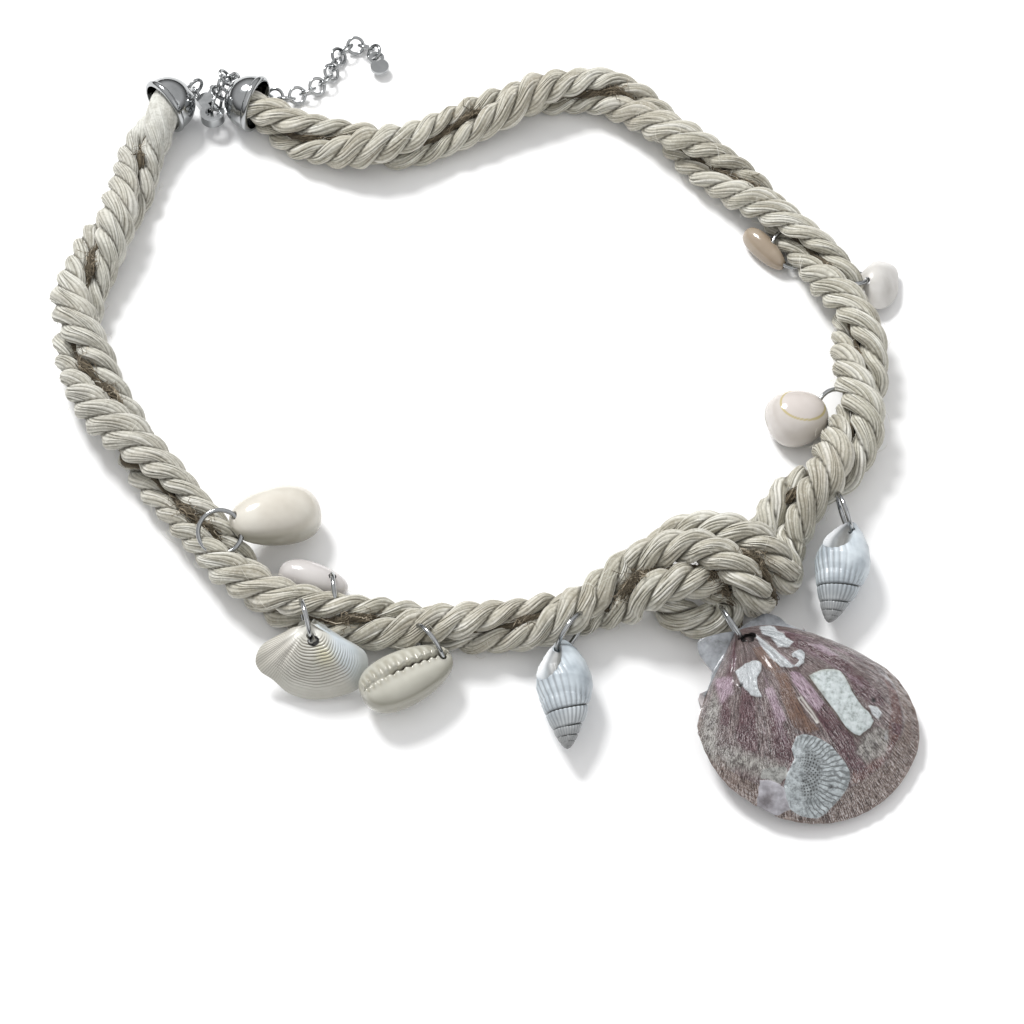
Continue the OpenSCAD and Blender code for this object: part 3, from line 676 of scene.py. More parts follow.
def insideShape(x, y, outline, soft):  # 1 inside a drawn outline, fading over soft millimetres
    outline = np.asarray(outline, float)
    inside = np.zeros(len(x), bool)
    nearest = np.full(len(x), 1e9)
    for (ax, ay), (bx, by) in zip(outline, np.roll(outline, -1, axis=0)):
        crosses = ((ay > y) != (by > y)) & (x < (bx - ax) * (y - ay) / (by - ay + 1e-12) + ax)
        inside ^= crosses
        dx, dy = bx - ax, by - ay
        t = np.clip(((x - ax) * dx + (y - ay) * dy) / (dx * dx + dy * dy), 0, 1)
        nearest = np.minimum(nearest, np.hypot(x - ax - t * dx, y - ay - t * dy))
    return ease(-soft, soft, np.where(inside, nearest, -nearest))


def hang(piece, node, material, angle=60):  # its ring's channel, its shading and its material
    cutRingChannel(piece, node)
    smooth(piece, angle)
    settle(piece, "necklace", node, material)


def put(piece, local, turn, place):
    putCorners(piece, toMetres(local @ turn.T + np.array(place)))


def lumps(x, y, scale, seed, layers=3):  # smooth uneven heights, about -1 to 1
    rng = np.random.default_rng(seed)
    total = np.zeros_like(x)
    for layer in range(layers):
        for _ in range(5):
            angle, shift = rng.uniform(0, tau), rng.uniform(0, tau)
            f = tau / scale * 1.9 ** layer * rng.uniform(0.7, 1.3)
            along = x * math.cos(angle) + y * math.sin(angle)
            across = y * math.cos(angle) - x * math.sin(angle)
            total += np.sin(f * along + shift + 1.3 * np.sin(0.6 * f * across)) / 1.9 ** layer
    return total / 4.5


scallop = dict(height=42, radius=21, rise=8.5, wall=1.2, place=(42, -31.7, 6.4), turn=36, tilt=7,
               hole=(-0.45, -3.4), holeAxis=(0, 0.55, 1), holeWide=3, left=-58, right=55,
               fanMiddle=(-11.3, -29.3))
fanTrim = [  # its sides are straighter than the round: share of the round's reach at an angle
    (-58, .93), (-42, .966), (-33, .971), (-24, .991), (-12, 1), (12, 1.01), (20, 1.02), (27, 1.015),
    (35, .985), (40, .945), (43.5, .875), (47, .785), (52, .66), (55, .6)]
earRim = [(-112, 7), (-106, 7.8), (-95, 8.4), (-80, 8.7), (-66, 9.4), (-62, 11.4), (-58, 20.7), (55, 14.45),
          (60, 11.6), (66, 9.9), (75, 9.2), (90, 7)]  # angle, reach
scallopFolds = [  # angle, how wide, how high
    (-56, 3.2, .25), (-48, 3, .5), (-34, 3.2, .6), (-21, 3.4, .65), (-9, 3, .2), (1, 3.1, .8), (12, 3, -.25),
    (20, 2.6, .45), (30, 3, .55), (41, 3, .4), (50, 3, .3)]
purpleRibs = [  # angle, how wide, from and to on the way out, how strong
    (-48, 4, .15, .75, .6), (-34, 4.5, .3, .8, .7), (-21, 4, .5, .86, .6), (1, 3.2, .5, .86, .8),
    (27, 5, .25, .62, .7), (34, 4, .18, .5, .8), (14, 2.6, .6, .9, .3), (22, 2.5, .1, .4, .8)]
lilacRibs = [(-20, 2.5, .3, .7, .7), (-27, 1.6, .3, .8, .5), (24, 1.8, .3, .7, .7), (37, 2, .2, .8, .6),
             (-44, 2, .2, .5, .5), (6, 1.4, .08, .34, 1)]
pits = [(10.8, -26.8, .5), (-8.6, -11.1, .35), (-5.8, -35.3, .35), (-9.7, -31.7, .3)]  # x, y, size
slitOutline = [(-2.1, -19.2), (-1.3, -19.4), (-1.3, -22.8), (-1.4, -25), (-1.9, -25), (-2, -22)]
glassOutline = [(-1.9, -19.5), (-1.5, -19.6), (-1.5, -22.8), (-1.6, -24.7), (-1.8, -22)]
# what lies on the shell's back, each drawn in its own x and y
slab = [(2.2, -17.2), (3.3, -17), (5.1, -17.4), (7.1, -18.5), (8.1, -19.3), (8.1, -20.8), (7.6, -23.7),
        (7.7, -26.5), (8.3, -28.5), (8.2, -30), (6.9, -30.6), (4, -30.9), (3.2, -30.1), (2.5, -28.5),
        (2.4, -25.9), (2.1, -20.1)]
fanCrust = [(-7.1, -25.2), (-6.4, -24.8), (-5.2, -25.2), (-3.8, -26.5), (-2.7, -28), (-1.9, -29.7),
            (-1.2, -33.4), (-1.4, -35), (-2, -36.1), (-3.4, -37.1), (-4.9, -37.6), (-8.9, -38.3),
            (-10.7, -38.1), (-12.8, -36.3), (-14.2, -33.9), (-13.7, -32.2), (-13.2, -30.5), (-11.6, -29.1),
            (-10.2, -28.4), (-8.9, -27.7), (-8.4, -26)]
flatCrust = [(-15.7, -26.8), (-14.3, -27.8), (-13.3, -29.5), (-12.9, -31.1), (-13.9, -34.3), (-14.6, -33.7),
             (-16, -33.5), (-17.4, -32.4), (-18.8, -30.6), (-18.2, -29.7)]
greyCrust = [(-14.3, -25.5), (-12.7, -26.5), (-10.8, -28), (-11.3, -29.3), (-13.3, -29.5), (-14.3, -27.8),
             (-15.5, -26.5)]
chalkPatches = [  # how high, how soft, outline
    (.4, .2, [(-7.6, -8), (-6.2, -8.2), (-4, -8.4), (-3.1, -10), (-4.4, -11.4), (-5.7, -11.9),
              (-6.8, -13.6), (-7.3, -15.6), (-8.7, -14), (-8.8, -12.3), (-8.6, -10.9)]),
    (.35, .25, [(1.1, -3.3), (1.1, -5.3), (.7, -8.8), (1.1, -12), (1.3, -14.2), (.1, -14.2), (-.8, -12.6),
                (-1, -10), (-.7, -7.6), (.1, -4.6)]),
    (.3, .35, [(2.6, -2.8), (4.5, -3.9), (4.3, -8.3), (4.9, -9.9), (3.1, -10.4), (1.8, -8.9), (2.1, -6.3),
               (1.5, -4.8)]),
    (.45, .15, [(3.5, -11.5), (4.5, -12.1), (4.5, -13.3), (3.4, -14.4), (1.8, -14.7), (1.2, -13.8),
                (2, -13.8), (2.9, -13.4), (2.9, -12.6), (2.3, -12.3), (2.7, -11.6)]),
    (.1, 1.3, [(15.4, -19.5), (17.5, -21), (18.6, -24.7), (18.1, -27.8), (16.5, -29.6), (16.1, -27.1),
               (15.6, -24)]),
    (.25, .3, [(9, -27.1), (10.7, -28.2), (10.8, -29.6), (9.2, -30.3), (8.6, -28.7)]),
    (.1, .5, [(8.9, -31.8), (10.6, -32.2), (8.9, -34.5), (7.9, -33.7)])]
purplePatches = [
    (.5, [(-8.8, -21.4), (-7.1, -22.6), (-8, -25.6), (-8.9, -26.6), (-10.1, -26.9), (-10.5, -25.4),
          (-10.2, -23.5)]),
    (.4, [(-13.6, -16.4), (-12.4, -17.9), (-13.9, -19.7), (-14.9, -18.7)]),
    (.5, [(-13.6, -11.1), (-12.5, -13.2), (-14.5, -15.3), (-15.1, -13.9)]),
    (.4, [(4.7, -7.8), (6.6, -8.5), (8.3, -11), (7.9, -11.8), (6, -10.9), (4.5, -8.9)]),
    (.45, [(1, -21.6), (1.8, -23.5), (2.2, -26.2), (2.8, -30.5), (1.5, -32.2), (.8, -33.6), (-.3, -33),
           (-.4, -30.4), (-1.1, -28), (-1, -24.6), (-.8, -22.3)]),
    (.6, [(9.2, -20.1), (11.7, -22.2), (13, -26), (12.4, -28.6), (9.8, -27.1), (8.2, -24.3)]),
    (.5, [(11.5, -31.6), (13.2, -33), (11.6, -34.3), (10.5, -33.4)])]
lilacPatches = [
    (.4, [(-.3, -14.5), (1.4, -15.6), (1.5, -19.3), (1.7, -22.7), (-.5, -23.5), (-1, -21.1), (-1.2, -18.3),
          (-.9, -16.2)]),
    (.6, [(-6.3, -14.4), (-4.4, -14.9), (-5.3, -18.1), (-6.1, -21.3), (-7.6, -21.3), (-7.1, -18)]),
    (.5, [(6.3, -11.6), (9.2, -12.7), (10.5, -16.7), (8.4, -16)]),
    (1.0, [(-10, -5.8), (-8.4, -8.7), (-10.1, -11.3), (-13.1, -11.3), (-11.7, -8.3)])]
amberPatches = [
    (.5, [(-1.9, -5.9), (.1, -7.2), (-.6, -10.7), (-1, -13.1), (-2.7, -12.8), (-3.2, -10.6), (-2.8, -7.9)]),
    (.7, [(-2.7, -12.8), (-.7, -14.2), (-1.9, -18.2), (-2.8, -22.4), (-2, -26.1), (-4.1, -25.8),
          (-5.8, -23.3), (-5.4, -20.3), (-4.7, -17.8), (-3, -15.1)]),
    (.6, [(-.6, -35.1), (2.8, -36.5), (5.8, -37.7), (3.2, -38.8), (.2, -37.8), (-2, -36.8)])]
frostPatches = [
    (1.6, [(-18.8, -14.8), (-18.6, -20.9), (-15.5, -26), (-12, -28.7), (-10.3, -27.7), (-13.2, -24),
           (-15.8, -19.3)]),
    (1.2, [(-18.5, -12.4), (-14.2, -9.4), (-11.9, -8.1), (-13.1, -11.3), (-16.4, -14.9), (-19.3, -20.2),
           (-19.9, -16.7)]),
    (1.0, [(4.2, -31.4), (8, -31), (10.5, -32.6), (7, -36), (2.5, -35.6), (1.6, -33)])]


def makeScallop():
    piece, s, u = gridPiece("scallopShell", 300, 150)
    left, right, radius = scallop["left"], scallop["right"], scallop["radius"]
    a = np.interp(s, [0, .03, .06, .94, .97, 1], [-112, -80, -62, 58, 72, 90])
    fan = np.radians(np.clip(a, left, right))
    c = scallop["height"] - radius
    fanReach = c * np.cos(fan) + np.sqrt(radius ** 2 - (c * np.sin(fan)) ** 2)
    fanReach *= np.interp(a, *smoothRows(fanTrim, 5).T)
    reach = np.where((a > left) & (a < right), fanReach, np.interp(a, *zip(*earRim)))
    side = np.where(a < 0, -a / 61, a / 57.75)
    share = np.maximum(np.clip(1 - side ** 2.4, 0, 1) ** 0.6, 0.08)
    u = 0.02 + 0.98 * u ** 1.05
    dome = np.sin(math.pi * np.clip(u, 0, 1) ** 0.75)
    x, y = np.sin(np.radians(a)) * reach * u, -np.cos(np.radians(a)) * reach * u
    rim = ease(0.895, 0.915, u + 0.012 * lumps(x, y, 9, 3) + 0.02 * np.exp(-(a / 14) ** 2))
    folds = sum(h * np.exp(-((a - at) / wide) ** 2) for at, wide, h in scallopFolds)
    body = (a > -60.5) & (a < 57)
    height = scallop["wall"] + scallop["rise"] * dome * share
    height += body * folds * (1 - 0.9 * u) * ease(0.0, 0.2, u) * 1.5
    fine = np.cos(np.radians(a) * 95 + 0.8 * lumps(x, y, 14, 8))
    height += body * fine * (0.05 + 0.06 * rim) * ease(0.25, 0.6, u)
    height += body * 0.03 * np.cos(u * 240) * rim
    height -= body * (0.3 * rim + 0.25 * ease(0.955, 0.97, u))
    height += body * 0.13 * lumps(x, y, 5, 4) * ease(0.1, 0.4, u)

    def laid(outline, soft=0.16):
        return insideShape(x, y, outline, soft) * body

    def most(patches):
        return np.maximum.reduce([laid(outline, soft) for soft, outline in patches])

    def ribbed(ribs, power, edges):  # colour that runs out along some ribs
        before, after, lessBefore, lessAfter = edges
        return sum(strong * np.exp(-((a - at) / wide) ** power) * ease(start - before, start + after, u)
                   * (1 - ease(end - lessBefore, end + lessAfter, u))
                   for at, wide, start, end, strong in ribs)
    chalky = np.zeros_like(x)
    for high, soft, outline in chalkPatches:
        there = laid(outline, soft)
        height += there * high * (1 + 0.3 * lumps(x, y, 1.3, 6) + 0.2 * fine)
        chalky = np.maximum(chalky, there * min(1, 0.35 + high * 2))
    plate, fanPart = laid(slab, .13), laid(fanCrust, .15)
    flat, grey = laid(flatCrust, .12), laid(greyCrust, .3)
    plateRim = plate * (1 - laid(slab, .9)) * ease(-25, -19, y)
    height += plate * (0.55 + 0.05 * lumps(x, y, 2, 5)) + flat * 0.45 + grey * 0.25 + plateRim * 0.15
    fx, fy = scallop["fanMiddle"]
    fanFar, fanAngle = np.hypot(x - fx, y - fy), np.arctan2(x - fx, fy - y)
    height += fanPart * (0.7 + 0.12 * lumps(x, y, 2.4, 6))
    # the pits are sunk a little and painted near-black as shade
    pitted = np.maximum.reduce([np.exp(-(np.hypot(x - px, y - py) / size) ** 4) for px, py, size in pits])
    height -= pitted * 0.4
    slit = insideShape(x, y, slitOutline, 0.1)
    # the slit's edges: a real raised ridge, painted pale as a highlight
    glassy = slit * (1 - insideShape(x, y, glassOutline, 0.08))
    height -= slit * 0.3
    height += glassy * 0.25
    local = np.column_stack([x, y, height])
    turn = turned(z=scallop["turn"]) @ turned(x=scallop["tilt"])
    put(piece, local, turn, scallop["place"])
    # painted shadow: a dark band along the raised slab's border
    border = laid(slab, 0.5)
    purple, lilac = ribbed(purpleRibs, 4, (.1, .1, .08, .06)), ribbed(lilacRibs, 2, (.05, .05, .1, .1))
    markAll(piece, chalky=chalky, plate=plate, plateRim=plateRim, plateEdge=4 * border * (1 - border),
            fan=fanPart, fanAngle=fanAngle, fanFar=fanFar,
            fanTeeth=fanPart * ease(4.4, 6.6, fanFar) * ease(-.35, .1, fanAngle),
            fanDots=fanPart * np.exp(-((fanFar - 4.4) / 1.7) ** 4) * ease(-.1, .3, fanAngle)
            * ease(2.1, 1.5, fanAngle), outer=u * body, flat=flat, grey=grey, rim=rim * body, ear=~body,
            pits=pitted, glassy=glassy, purple=np.clip(np.maximum(purple, most(purplePatches)), 0, 1),
            lilac=np.clip(np.maximum(lilac * .8, most(lilacPatches)), 0, 1),
            amber=np.clip(most(amberPatches), 0, 1), frost=most(frostPatches),
            redBand=np.exp(-((u - .86) / .035) ** 4) * ease(-6, 2, a) * (1 - ease(30, 40, a)))
    giveWall(piece, scallop["wall"])
    hx, hy = scallop["hole"]
    fromHole = np.hypot(x - hx, y - hy)
    # painted shade on the inner layer round the hole
    markAll(piece, inner=np.repeat([1, 0], len(x)),
            well=np.concatenate([np.exp(-(fromHole / 3) ** 2), np.zeros(len(x))]))
    faceOut(piece)
    holeAt = np.array(scallop["place"]) + turn @ local[np.argmin(fromHole)]
    drill(piece, holeAt, turn @ scallop["holeAxis"], scallop["holeWide"])
    return piece


def scallopFinish():
    f = Finish("lacqueredShell", 0.34, Coat_Weight=0.5, Coat_Roughness=0.1)
    fleck, broad = f.noise(900, 5, 0.75), f.noise(210, 4, 0.6)
    rays, threads = f.grain((170, 9, 1), 4, 0.7), f.grain((520, 20, 1), 3, 0.75)
    rows = f.grain((14, 150, 1), 3, 0.7)

    def edge(name, low, high, wobble):  # a mark whose border is broken up by the noise
        torn = f.maths("ADD", f.value(name), f.times(f.maths("SUBTRACT", broad, 0.5), wobble))
        return f.ramp(torn, (low, 0.0), (high, 1.0))

    def thread(dark, light):
        return f.ramp(threads, (0.38, dark), (0.6, light))
    scratched = f.times(f.grain((420, 90, 1), 5, 0.8), f.ramp(threads, (0.38, 0.75), (0.6, 1.15)))
    worn = f.ramp(f.maths("ADD", f.noise(130, 3), f.times(f.value("outer"), 0.2)), (0.45, 0.0), (0.7, 1.0))
    bent = f.maths("ADD", f.times(f.value("fanAngle"), 62.0), f.times(f.noise(320, 3), 13.0))
    tooth = f.ramp(f.maths("SINE", bent), (0.3, 0.0), (0.8, 0.8))
    gap = f.times(tooth, f.ramp(fleck, (0.38, 0.4), (0.55, 1.0)))
    across = f.maths("SINE", f.times(f.value("fanAngle"), 38.0))
    outwards = f.maths("SINE", f.times(f.value("fanFar"), 8.0))
    dots = f.ramp(f.times(across, outwards), (0.15, 0.0), (0.5, 0.9))
    f.colour(f.layers(
        f.ramp(rays, (0.36, (0.035, 0.019, 0.018)), (0.5, (0.125, 0.08, 0.076)), (0.64, (0.36, 0.29, 0.28))),
        (edge("amber", 0.3, 0.7, 0.6),
         f.ramp(rays, (0.38, (0.075, 0.03, 0.018)), (0.6, (0.23, 0.125, 0.08)))),
        (edge("redBand", 0.35, 0.7, 0.6), thread((0.07, 0.018, 0.016), (0.2, 0.09, 0.075))),
        (edge("purple", 0.25, 0.6, 0.9), thread((0.024, 0.005, 0.009), (0.13, 0.038, 0.052))),
        (edge("lilac", 0.35, 0.9, 0.9), thread((0.16, 0.06, 0.1), (0.6, 0.47, 0.56))),
        (edge("rim", 0.3, 0.7, 0.2), thread((0.07, 0.04, 0.031), (0.24, 0.17, 0.14))),
        (f.times(edge("rim", 0.3, 0.7, 0.2), f.ramp(rows, (0.5, 0.0), (0.58, 0.5))), (0.36, 0.3, 0.26)),
        (f.times(edge("frost", 0.2, 0.9, 0.6), 0.85),
         f.ramp(fleck, (0.4, (0.09, 0.08, 0.07)), (0.58, (0.5, 0.49, 0.45)))),
        (f.times(f.ramp(scratched, (0.51, 0.0), (0.6, 0.8)), worn), (0.66, 0.63, 0.63)),
        (f.ramp(scratched, (0.36, 0.9), (0.48, 0.0)), (0.02, 0.01, 0.011)),
        (edge("chalky", 0.45, 0.85, 0.8), f.ramp(
            scratched, (0.32, (0.13, 0.14, 0.14)), (0.46, (0.55, 0.58, 0.6)), (0.6, (0.75, 0.78, 0.8)))),
        (edge("ear", 0.4, 0.7, 0.2), f.ramp(broad, (0.36, (0.07, 0.075, 0.08)), (0.64, (0.36, 0.38, 0.41)))),
        (edge("grey", 0.4, 0.7, 0.4), f.ramp(fleck, (0.38, (0.12, 0.12, 0.11)), (0.6, (0.44, 0.44, 0.42)))),
        (edge("flat", 0.4, 0.6, 0.1), f.ramp(broad, (0.38, (0.17, 0.155, 0.165)), (0.6, (0.5, 0.49, 0.53)))),
        (edge("fan", 0.4, 0.6, 0.2), f.ramp(fleck, (0.36, (0.15, 0.165, 0.17)), (0.58, (0.55, 0.6, 0.62)))),
        (f.times(gap, f.value("fanTeeth")), (0.06, 0.065, 0.065)),
        (f.times(f.value("fanDots"), 0.5), (0.13, 0.14, 0.14)),
        (f.times(dots, f.value("fanDots")), (0.02, 0.02, 0.02)),
        # painted shadow along the slab's border
        (f.times(f.value("plateEdge"), f.ramp(broad, (0.4, 0.35), (0.6, 0.9))), (0.1, 0.08, 0.06)),
        (edge("plate", 0.5, 0.7, 0.1), f.ramp(
            fleck, (0.34, (0.3, 0.34, 0.33)), (0.5, (0.6, 0.66, 0.66)), (0.66, (0.74, 0.79, 0.8)))),
        # the second colour on the next line is a painted highlight on the slit's raised edges
        (f.value("plateRim"), (0.36, 0.35, 0.29)), (f.value("glassy"), (0.72, 0.7, 0.66)),
        # painted shade in the pits
        (f.value("pits"), (0.012, 0.01, 0.01)),
        (f.value("inner"), f.ramp(broad, (0.3, (0.4, 0.36, 0.36)), (0.7, (0.58, 0.53, 0.53)))),
        # painted shade in and round the drilled hole
        (f.value("well"), (0.012, 0.01, 0.009))))
    f.relief(f.maths("ADD", fleck, f.maths("ADD", rays, threads)), 0.7, 0.00026)
    f.rough(f.ramp(f.noise(300, 3), (0.3, 0.22), (0.7, 0.5)))
    return f.material


clam = dict(wall=1.0, hole=(0.7, -3.1), holeAxis=(0, 0.4, 1), holeWide=2, holeDeep=0.8)
nearOutline = [  # direction and reach of the rim from the beak
    (-76, 3.4), (-71, 5.6), (-67, 9.7), (-58, 12.3), (-49, 13.1), (-34, 12.9), (-19, 13.9), (-1, 14.5),
    (18, 14.9), (34, 15.4), (45, 14.5), (52, 13.5), (61, 11.2), (64, 6.6), (71, 3.6), (80, 2.6)]
farOutline = [(-62, 6.6), (-48, 8.4), (-20, 8.9), (10, 8.8), (34, 9.4), (50, 8), (62, 6.2)]


def makeClam(name, cut, outline, rise, place, turns, ridges, folds):
    piece, s, u = gridPiece(name, cut, cut)
    directions, reaches = smoothRows(outline, 5).T
    a = directions[0] + s * (directions[-1] - directions[0])
    reach = np.interp(a, directions, reaches)
    middleWay = (directions[0] + directions[-1]) / 2
    t = np.abs(a - middleWay) / (directions[-1] - middleWay)
    share = np.clip(1 - (t / 1.06) ** 2.2, 0.02, 1) ** 0.6
    u = 0.025 + 0.975 * u
    x, y = np.sin(np.radians(a)) * reach * u, -np.cos(np.radians(a)) * reach * u
    z = 1.2 + rise * share * np.sin(math.pi * u ** 0.75)
    growth = u * 25 + 0.25 * lumps(x, y, 6, 2)
    ridge = (0.5 + 0.5 * np.cos(tau * growth)) ** 0.7
    banded = np.exp(-((a - 6) / 50) ** 6) * ease(0.14, 0.24, u) * (1 - 0.7 * ease(0.74, 0.92, u))
    z += ridges * ridge * banded
    z += folds * np.cos(np.radians(a + 60) * 24) * ease(-26, -38, a) * ease(0.2, 0.5, u) * 0.16
    local = np.column_stack([x, y, z])
    turn = turned(z=turns[1]) @ turned(x=turns[0])
    put(piece, local, turn, place)
    # the low mark darkens the band toward the rim: painted shade
    markAll(piece, furrow=(1 - ridge) * banded, warm=np.exp(-((a - 26) / 14) ** 2 - ((u - .42) / .14) ** 2),
            cool=ease(26, 44, a) * ease(.25, .5, u), side=ease(-20, -44, a) * ease(.2, .5, u),
            low=ease(.7, .95, u))
    giveWall(piece, clam["wall"])
    # no painted shade until the hole is drilled
    mark(piece, "well", np.zeros(len(x) * 2))
    faceOut(piece)
    hx, hy = clam["hole"]
    beside = np.argmin(np.hypot(x - hx, y - hy))
    return piece, local[beside] @ turn.T + np.array(place), turn @ np.array(clam["holeAxis"])


def clamFinish():
    f = Finish("ridgedClam", 0.42, Coat_Weight=0.2, Coat_Roughness=0.2)
    cloud = f.noise(170, 4, 0.6)
    f.colour(f.layers(
        f.ramp(cloud, (0.3, (0.46, 0.45, 0.4)), (0.7, (0.64, 0.63, 0.58))),
        (f.value("side"), f.ramp(f.stripes(22, 2), (0.2, (0.36, 0.34, 0.29)), (0.7, (0.6, 0.58, 0.53)))),
        (f.value("cool"), f.ramp(cloud, (0.3, (0.5, 0.56, 0.6)), (0.7, (0.68, 0.73, 0.76)))),
        (f.times(f.value("warm"), 0.6), (0.62, 0.59, 0.36)),
        # painted shade toward the rim
        (f.times(f.value("low"), 0.5), (0.36, 0.35, 0.3)),
        # the last colour on the next line is painted shade in and round the drilled hole
        (f.mask("furrow", 0.3, 0.95, 0.85), (0.15, 0.13, 0.095)), (f.value("well"), (0.012, 0.01, 0.008))))
    f.relief(f.noise(900, 4), 0.25, 0.0001)
    return f.material


def farClamFinish():
    f = Finish("paleClam", 0.35, Coat_Weight=0.3, Coat_Roughness=0.15)
    f.colour(f.ramp(f.noise(190), (0.3, (0.5, 0.48, 0.45)), (0.7, (0.66, 0.645, 0.62))))
    f.relief(f.noise(600), 0.2, 0.0001)
    return f.material


def makeCowrie(name, length, width, height, place, turns, teeth):
    piece, a, b = eggPiece(name, 110, 92)
    reach = np.sin(a) ** 0.75 * (1 + 0.14 * np.cos(a))
    low = np.sin(b) < 0
    x = -length / 2 * np.cos(a)
    y = width / 2 * reach * np.cos(b)
    z = height * np.where(low, 0.36, 0.64) * reach * np.sin(b)
    t = a / math.pi
    side = np.where(low, np.cos(b), np.sign(np.cos(b)) * 2)  # across the base, 0 on its middle
    window = ease(0.05, 0.13, t) * (1 - ease(0.9, 0.97, t))
    comb = 0.5 + 0.5 * np.cos(tau * teeth * t)
    slitAt = 0.07 * np.sin(t * math.pi * 1.2) + 0.022 * np.cos(tau * teeth * t)
    slit = np.exp(-((side - slitAt) / 0.058) ** 2) * window * low * (0.12 + 0.88 * ease(0.3, 0.55, t))
    lips = np.exp(-((np.abs(side - slitAt) - 0.17) / 0.13) ** 2) * window * low
    upper = ease(0.05, 0.16, side) * (1 - ease(0.52, 0.86, side)) * window * low
    z += height * 0.36 * (slit * 0.85 - lips * 0.14 * (comb - 0.3) - upper * 0.09 * comb)
    local = np.column_stack([x, -y, z])
    put(piece, local, turned(z=turns[2]) @ turned(y=turns[1]) @ turned(x=turns[0]), place)
    hoopFar = np.hypot((x - 1) / (length * 0.37), (y + 0.3) / (width * 0.33))
    # the first mark darkens one long side towards the base: painted shade
    markAll(piece, slit=slit, under=ease(-0.25, -1, np.cos(b)) * ease(0.7, 0.2, np.sin(b)),
            comb=np.maximum(lips, upper) * (1 - comb),
            hoop=np.where(low, 0, np.exp(-((hoopFar - 1) / 0.05) ** 2)),
            saddle=(~low) * ease(1.1, 0.9, hoopFar))
    outward(piece)
    return piece


def cowrieFinish(name, light, dark, hoop=False):
    f = Finish(name, 0.16, Coat_Weight=0.5, Coat_Roughness=0.05)
    tone = f.layers(f.ramp(f.noise(110, 3), (0.3, dark), (0.7, light)),
                    # painted shade on the shell's low side
                    (f.times(f.value("under"), 0.75), (0.25, 0.24, 0.19)),
                    (f.times(f.value("comb"), 0.6), (0.27, 0.25, 0.19)),
                    # near-black in the slit: painted shade in the aperture
                    (f.mask("slit", 0.25, 0.6), (0.05, 0.035, 0.025)))
    if hoop:
        tone = f.layers(tone, (f.times(f.value("saddle"), 0.35), (0.6, 0.53, 0.5)),
                        (f.mask("hoop", 0.2, 0.7, 0.8), (0.46, 0.38, 0.15)))
    f.colour(tone)
    f.relief(f.noise(420, 3), 0.06, 0.0001)
    return f.material


whelk = dict(length=23, width=10.4, ribs=24, lean=0.085)
whorls = [  # share of the way to the tip, whorl
    (0.0, -3.4), (0.48, 0), (0.641, 0.8), (0.803, 1.8), (0.884, 2.8), (0.936, 3.8), (1.0, 5.4)]
whelkOutline = [  # share of the way, share of the width
    (0, 0), (.004, .17), (.03, .26), (.1, .5), (.22, .8), (.35, .97), (.43, 1), (.53, .9), (.6, .77),
    (.68, .69), (.76, .56), (.8, .48), (.86, .4), (.91, .3), (.955, .2), (.985, .1), (1, 0)]


def makeWhelk(name, place, turn, spin, mouth):
    piece, a, b = eggPiece(name, 150, 180)
    t = a / math.pi
    radius = np.interp(t, *zip(*whelkOutline))
    leant = t - whelk["lean"] * radius * np.sin(b)  # the seams' planes lean towards the tip on top
    count = np.interp(leant, *zip(*whorls)) - (b + math.radians(spin)) / tau
    part = count - np.floor(count)
    gap = np.minimum(part, 1 - part)
    shown = ease(-0.75, -0.45, count)  # no seam on the great last whorl
    fade = ease(0, .12, 1 - t)
    groove = np.exp(-(gap / 0.045) ** 2) * shown
    bulge = np.where(count > -0.2, np.sin(math.pi * np.clip(part, 0, 1)) ** 0.6, 1) * shown
    lean = b + 0.9 * (t - 0.5) - 1.1 * np.clip(0.42 - t, 0, 1)
    body = (0.5 + 0.5 * np.cos(whelk["ribs"] * lean)) ** 0.8
    plain = ease(2, 1.1, b) * ease(-1.2, 0, b) * ease(0.62, 0.45, t)  # the great whorl is smooth on its right
    ribs = body * ease(0.16, 0.34, t) * (1 - 0.5 * ease(0.62, 0.9, t)) * (1 - 0.85 * plain) + 0.6 * plain
    r = whelk["width"] / 2 * (radius * (1 + 0.05 * bulge * (t > .58))
                              + 0.034 * ribs * np.minimum(radius * 2, 1) - 0.09 * groove * fade)
    off = (b - math.radians(mouth["angle"]) + math.pi) % tau - math.pi
    along = (t - mouth["middle"]) / mouth["half"]
    bowl = np.clip(1 - along ** 2, 0, 1)
    width = math.radians(mouth["wide"]) * np.sqrt(bowl) + 1e-6
    inside = np.clip(1 - (off / width) ** 2, 0, 1) ** 0.5 * (bowl > 0)
    lipAt = np.exp(-((off - width) / 0.07) ** 2) * (bowl > 0.02) * np.sqrt(bowl)
    r = r * (1 - 0.62 * inside) + 0.4 * lipAt
    put(piece, np.column_stack([r * np.cos(b), -t * whelk["length"], r * np.sin(b)]), turned(z=turn), place)
    markAll(piece, groove=groove, rib=1 - ribs, mouth=inside, lip=lipAt, tip=ease(.55, 1, t))
    outward(piece)
    return piece


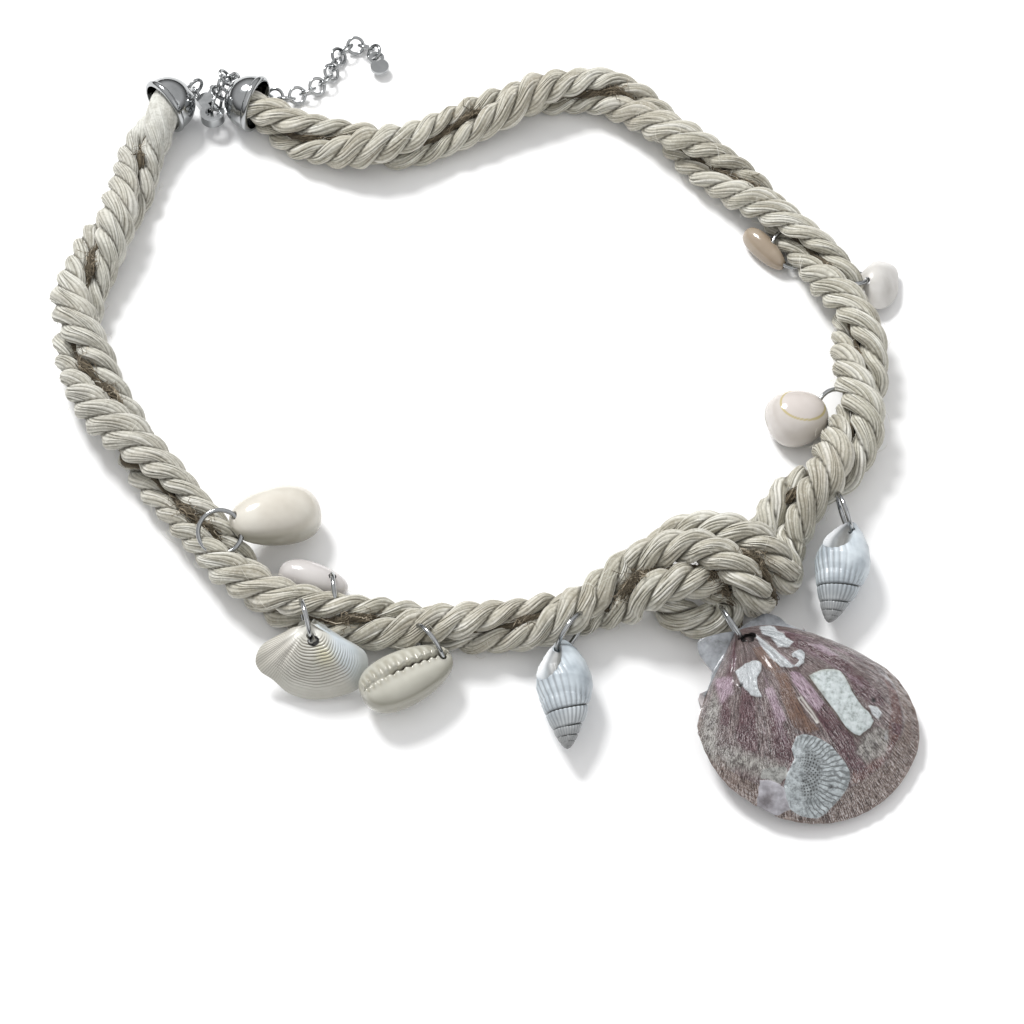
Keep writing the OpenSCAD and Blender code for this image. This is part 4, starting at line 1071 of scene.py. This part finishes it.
def whelkFinish():
    f = Finish("chalkWhelk", 0.38, Coat_Weight=0.2, Coat_Roughness=0.15)
    cloud = f.noise(150, 4, 0.6)
    f.colour(f.layers(
        f.ramp(cloud, (0.34, (0.36, 0.41, 0.45)), (0.66, (0.6, 0.66, 0.7))),
        (f.value("tip"), f.ramp(cloud, (0.3, (0.2, 0.2, 0.19)), (0.7, (0.38, 0.38, 0.37)))),
        (f.mask("rib", 0.4, 1.0, 0.7), (0.17, 0.18, 0.195)),
        (f.mask("groove", 0.2, 0.8, 0.92), (0.07, 0.07, 0.065)),
        # dark in the mouth: painted shade in the aperture
        (f.mask("mouth", 0.1, 0.8, 0.92), f.ramp(cloud, (0.3, (0.1, 0.1, 0.09)), (0.7, (0.27, 0.27, 0.26)))),
        (f.mask("lip", 0.3, 0.8, 0.9), (0.74, 0.75, 0.76))))
    f.relief(f.noise(800), 0.25, 0.0001)
    return f.material


# Everything put together

makeCamera()
makeStudio()

cotton, jute, chrome = cottonFinish(), juteFinish(), chromeFinish()
settle(makeRope("ropeA", rope["off"], knotA, 0.6, 31), "necklace", "rope_a", cotton)
settle(makeRope("ropeB", -rope["off"], knotB, 1.4, 47), "necklace", "rope_b", cotton)
print("ropes twisted")
settle(makeTwine("twineA", -twine["off"], knotTwineA, 5), "necklace", "twine_a", jute)
settle(makeTwine("twineB", twine["off"], knotTwineB, 9), "necklace", "twine_b", jute)
print("twines laid")

hang(makeScallop(), "scallop_pendant", scallopFinish(), 70)
nearClam, holeAt, holeAxis = makeClam("clamShell", 150, nearOutline, 4, (-37.9, -30.6, 9.2), (37, 2), 0.2, 1)
drill(nearClam, holeAt, holeAxis, clam["holeWide"], clam["holeDeep"])
hang(nearClam, "clam", clamFinish())
farClam, _, _ = makeClam("farClamShell", 100, farOutline, 3.4, (71.2, 55.4, 2.1), (9, 80), 0.03, 0)
hang(farClam, "clam_far", farClamFinish())
print("scallop and clams shaped")

cream = ((0.68, 0.65, 0.58), (0.54, 0.5, 0.43))
cowries = [  # node, size, place, turns, teeth, material slot, finish
    ("cowrie_left", (18.4, 12.6, 9.4), (-46, -5.6, 6.4), (0, -18, 205), 15, "cowrie",
     cowrieFinish("glossCreamEgg", *cream)),
    ("cowrie_front", (18.6, 10.8, 9.4), (-19.7, -40.5, 6.15), (180, 0, 29), 16, "cowrie",
     cowrieFinish("toothedCreamEgg", (0.59, 0.58, 0.51), (0.43, 0.42, 0.36))),
    ("cowrie_right", (12.4, 12, 8.8), (57, 19.9, 3.5), (0, 0, 20), 12, "cowrie_yellow_ring",
     cowrieFinish("ringedEgg", (0.64, 0.6, 0.57), (0.5, 0.46, 0.42), True)),
    ("cowrie_far", (12, 5, 4.8), (52.8, 64, 2), (0, 0, -53), 12, "cowrie_tan",
     cowrieFinish("tanEgg", (0.38, 0.32, 0.25), (0.26, 0.2, 0.14))),
    ("cowrie_hidden", (14, 7, 6), (-38.3, -17.5, 2.4), (0, 0, -18), 12, "cowrie",
     cowrieFinish("pinkGreyEgg", (0.6, 0.575, 0.56), (0.48, 0.45, 0.44)))]
for node, size, place, turns, teeth, slotName, finish in cowries:
    hang(makeCowrie(node.replace("_", "") + "Shell", *size, place, turns, teeth), node, finish)
chalk = whelkFinish()
for node, place, turn, spin, mouth in [
        ("whelk_left", (9.6, -32.6, 5.4), 1.5, 200, dict(angle=134, wide=38, middle=0.21, half=0.23)),
        ("whelk_right", (66, -6.3, 5.4), -15, 200, dict(angle=118, wide=38, middle=0.2, half=0.2))]:
    hang(makeWhelk(node.replace("_", "") + "Shell", place, turn, spin, mouth), node, chalk)
print("small shells shaped")

metalNodes = [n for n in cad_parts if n.endswith("_ring") or n.startswith(("cap_", "clasp_")) or
              n in ("extension_chain", "chain_drop")]
for n in metalNodes:
    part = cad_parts[n]
    part.data.materials.clear()
    part.data.materials.append(chrome)
print("metal plated:", len(metalNodes), "parts")
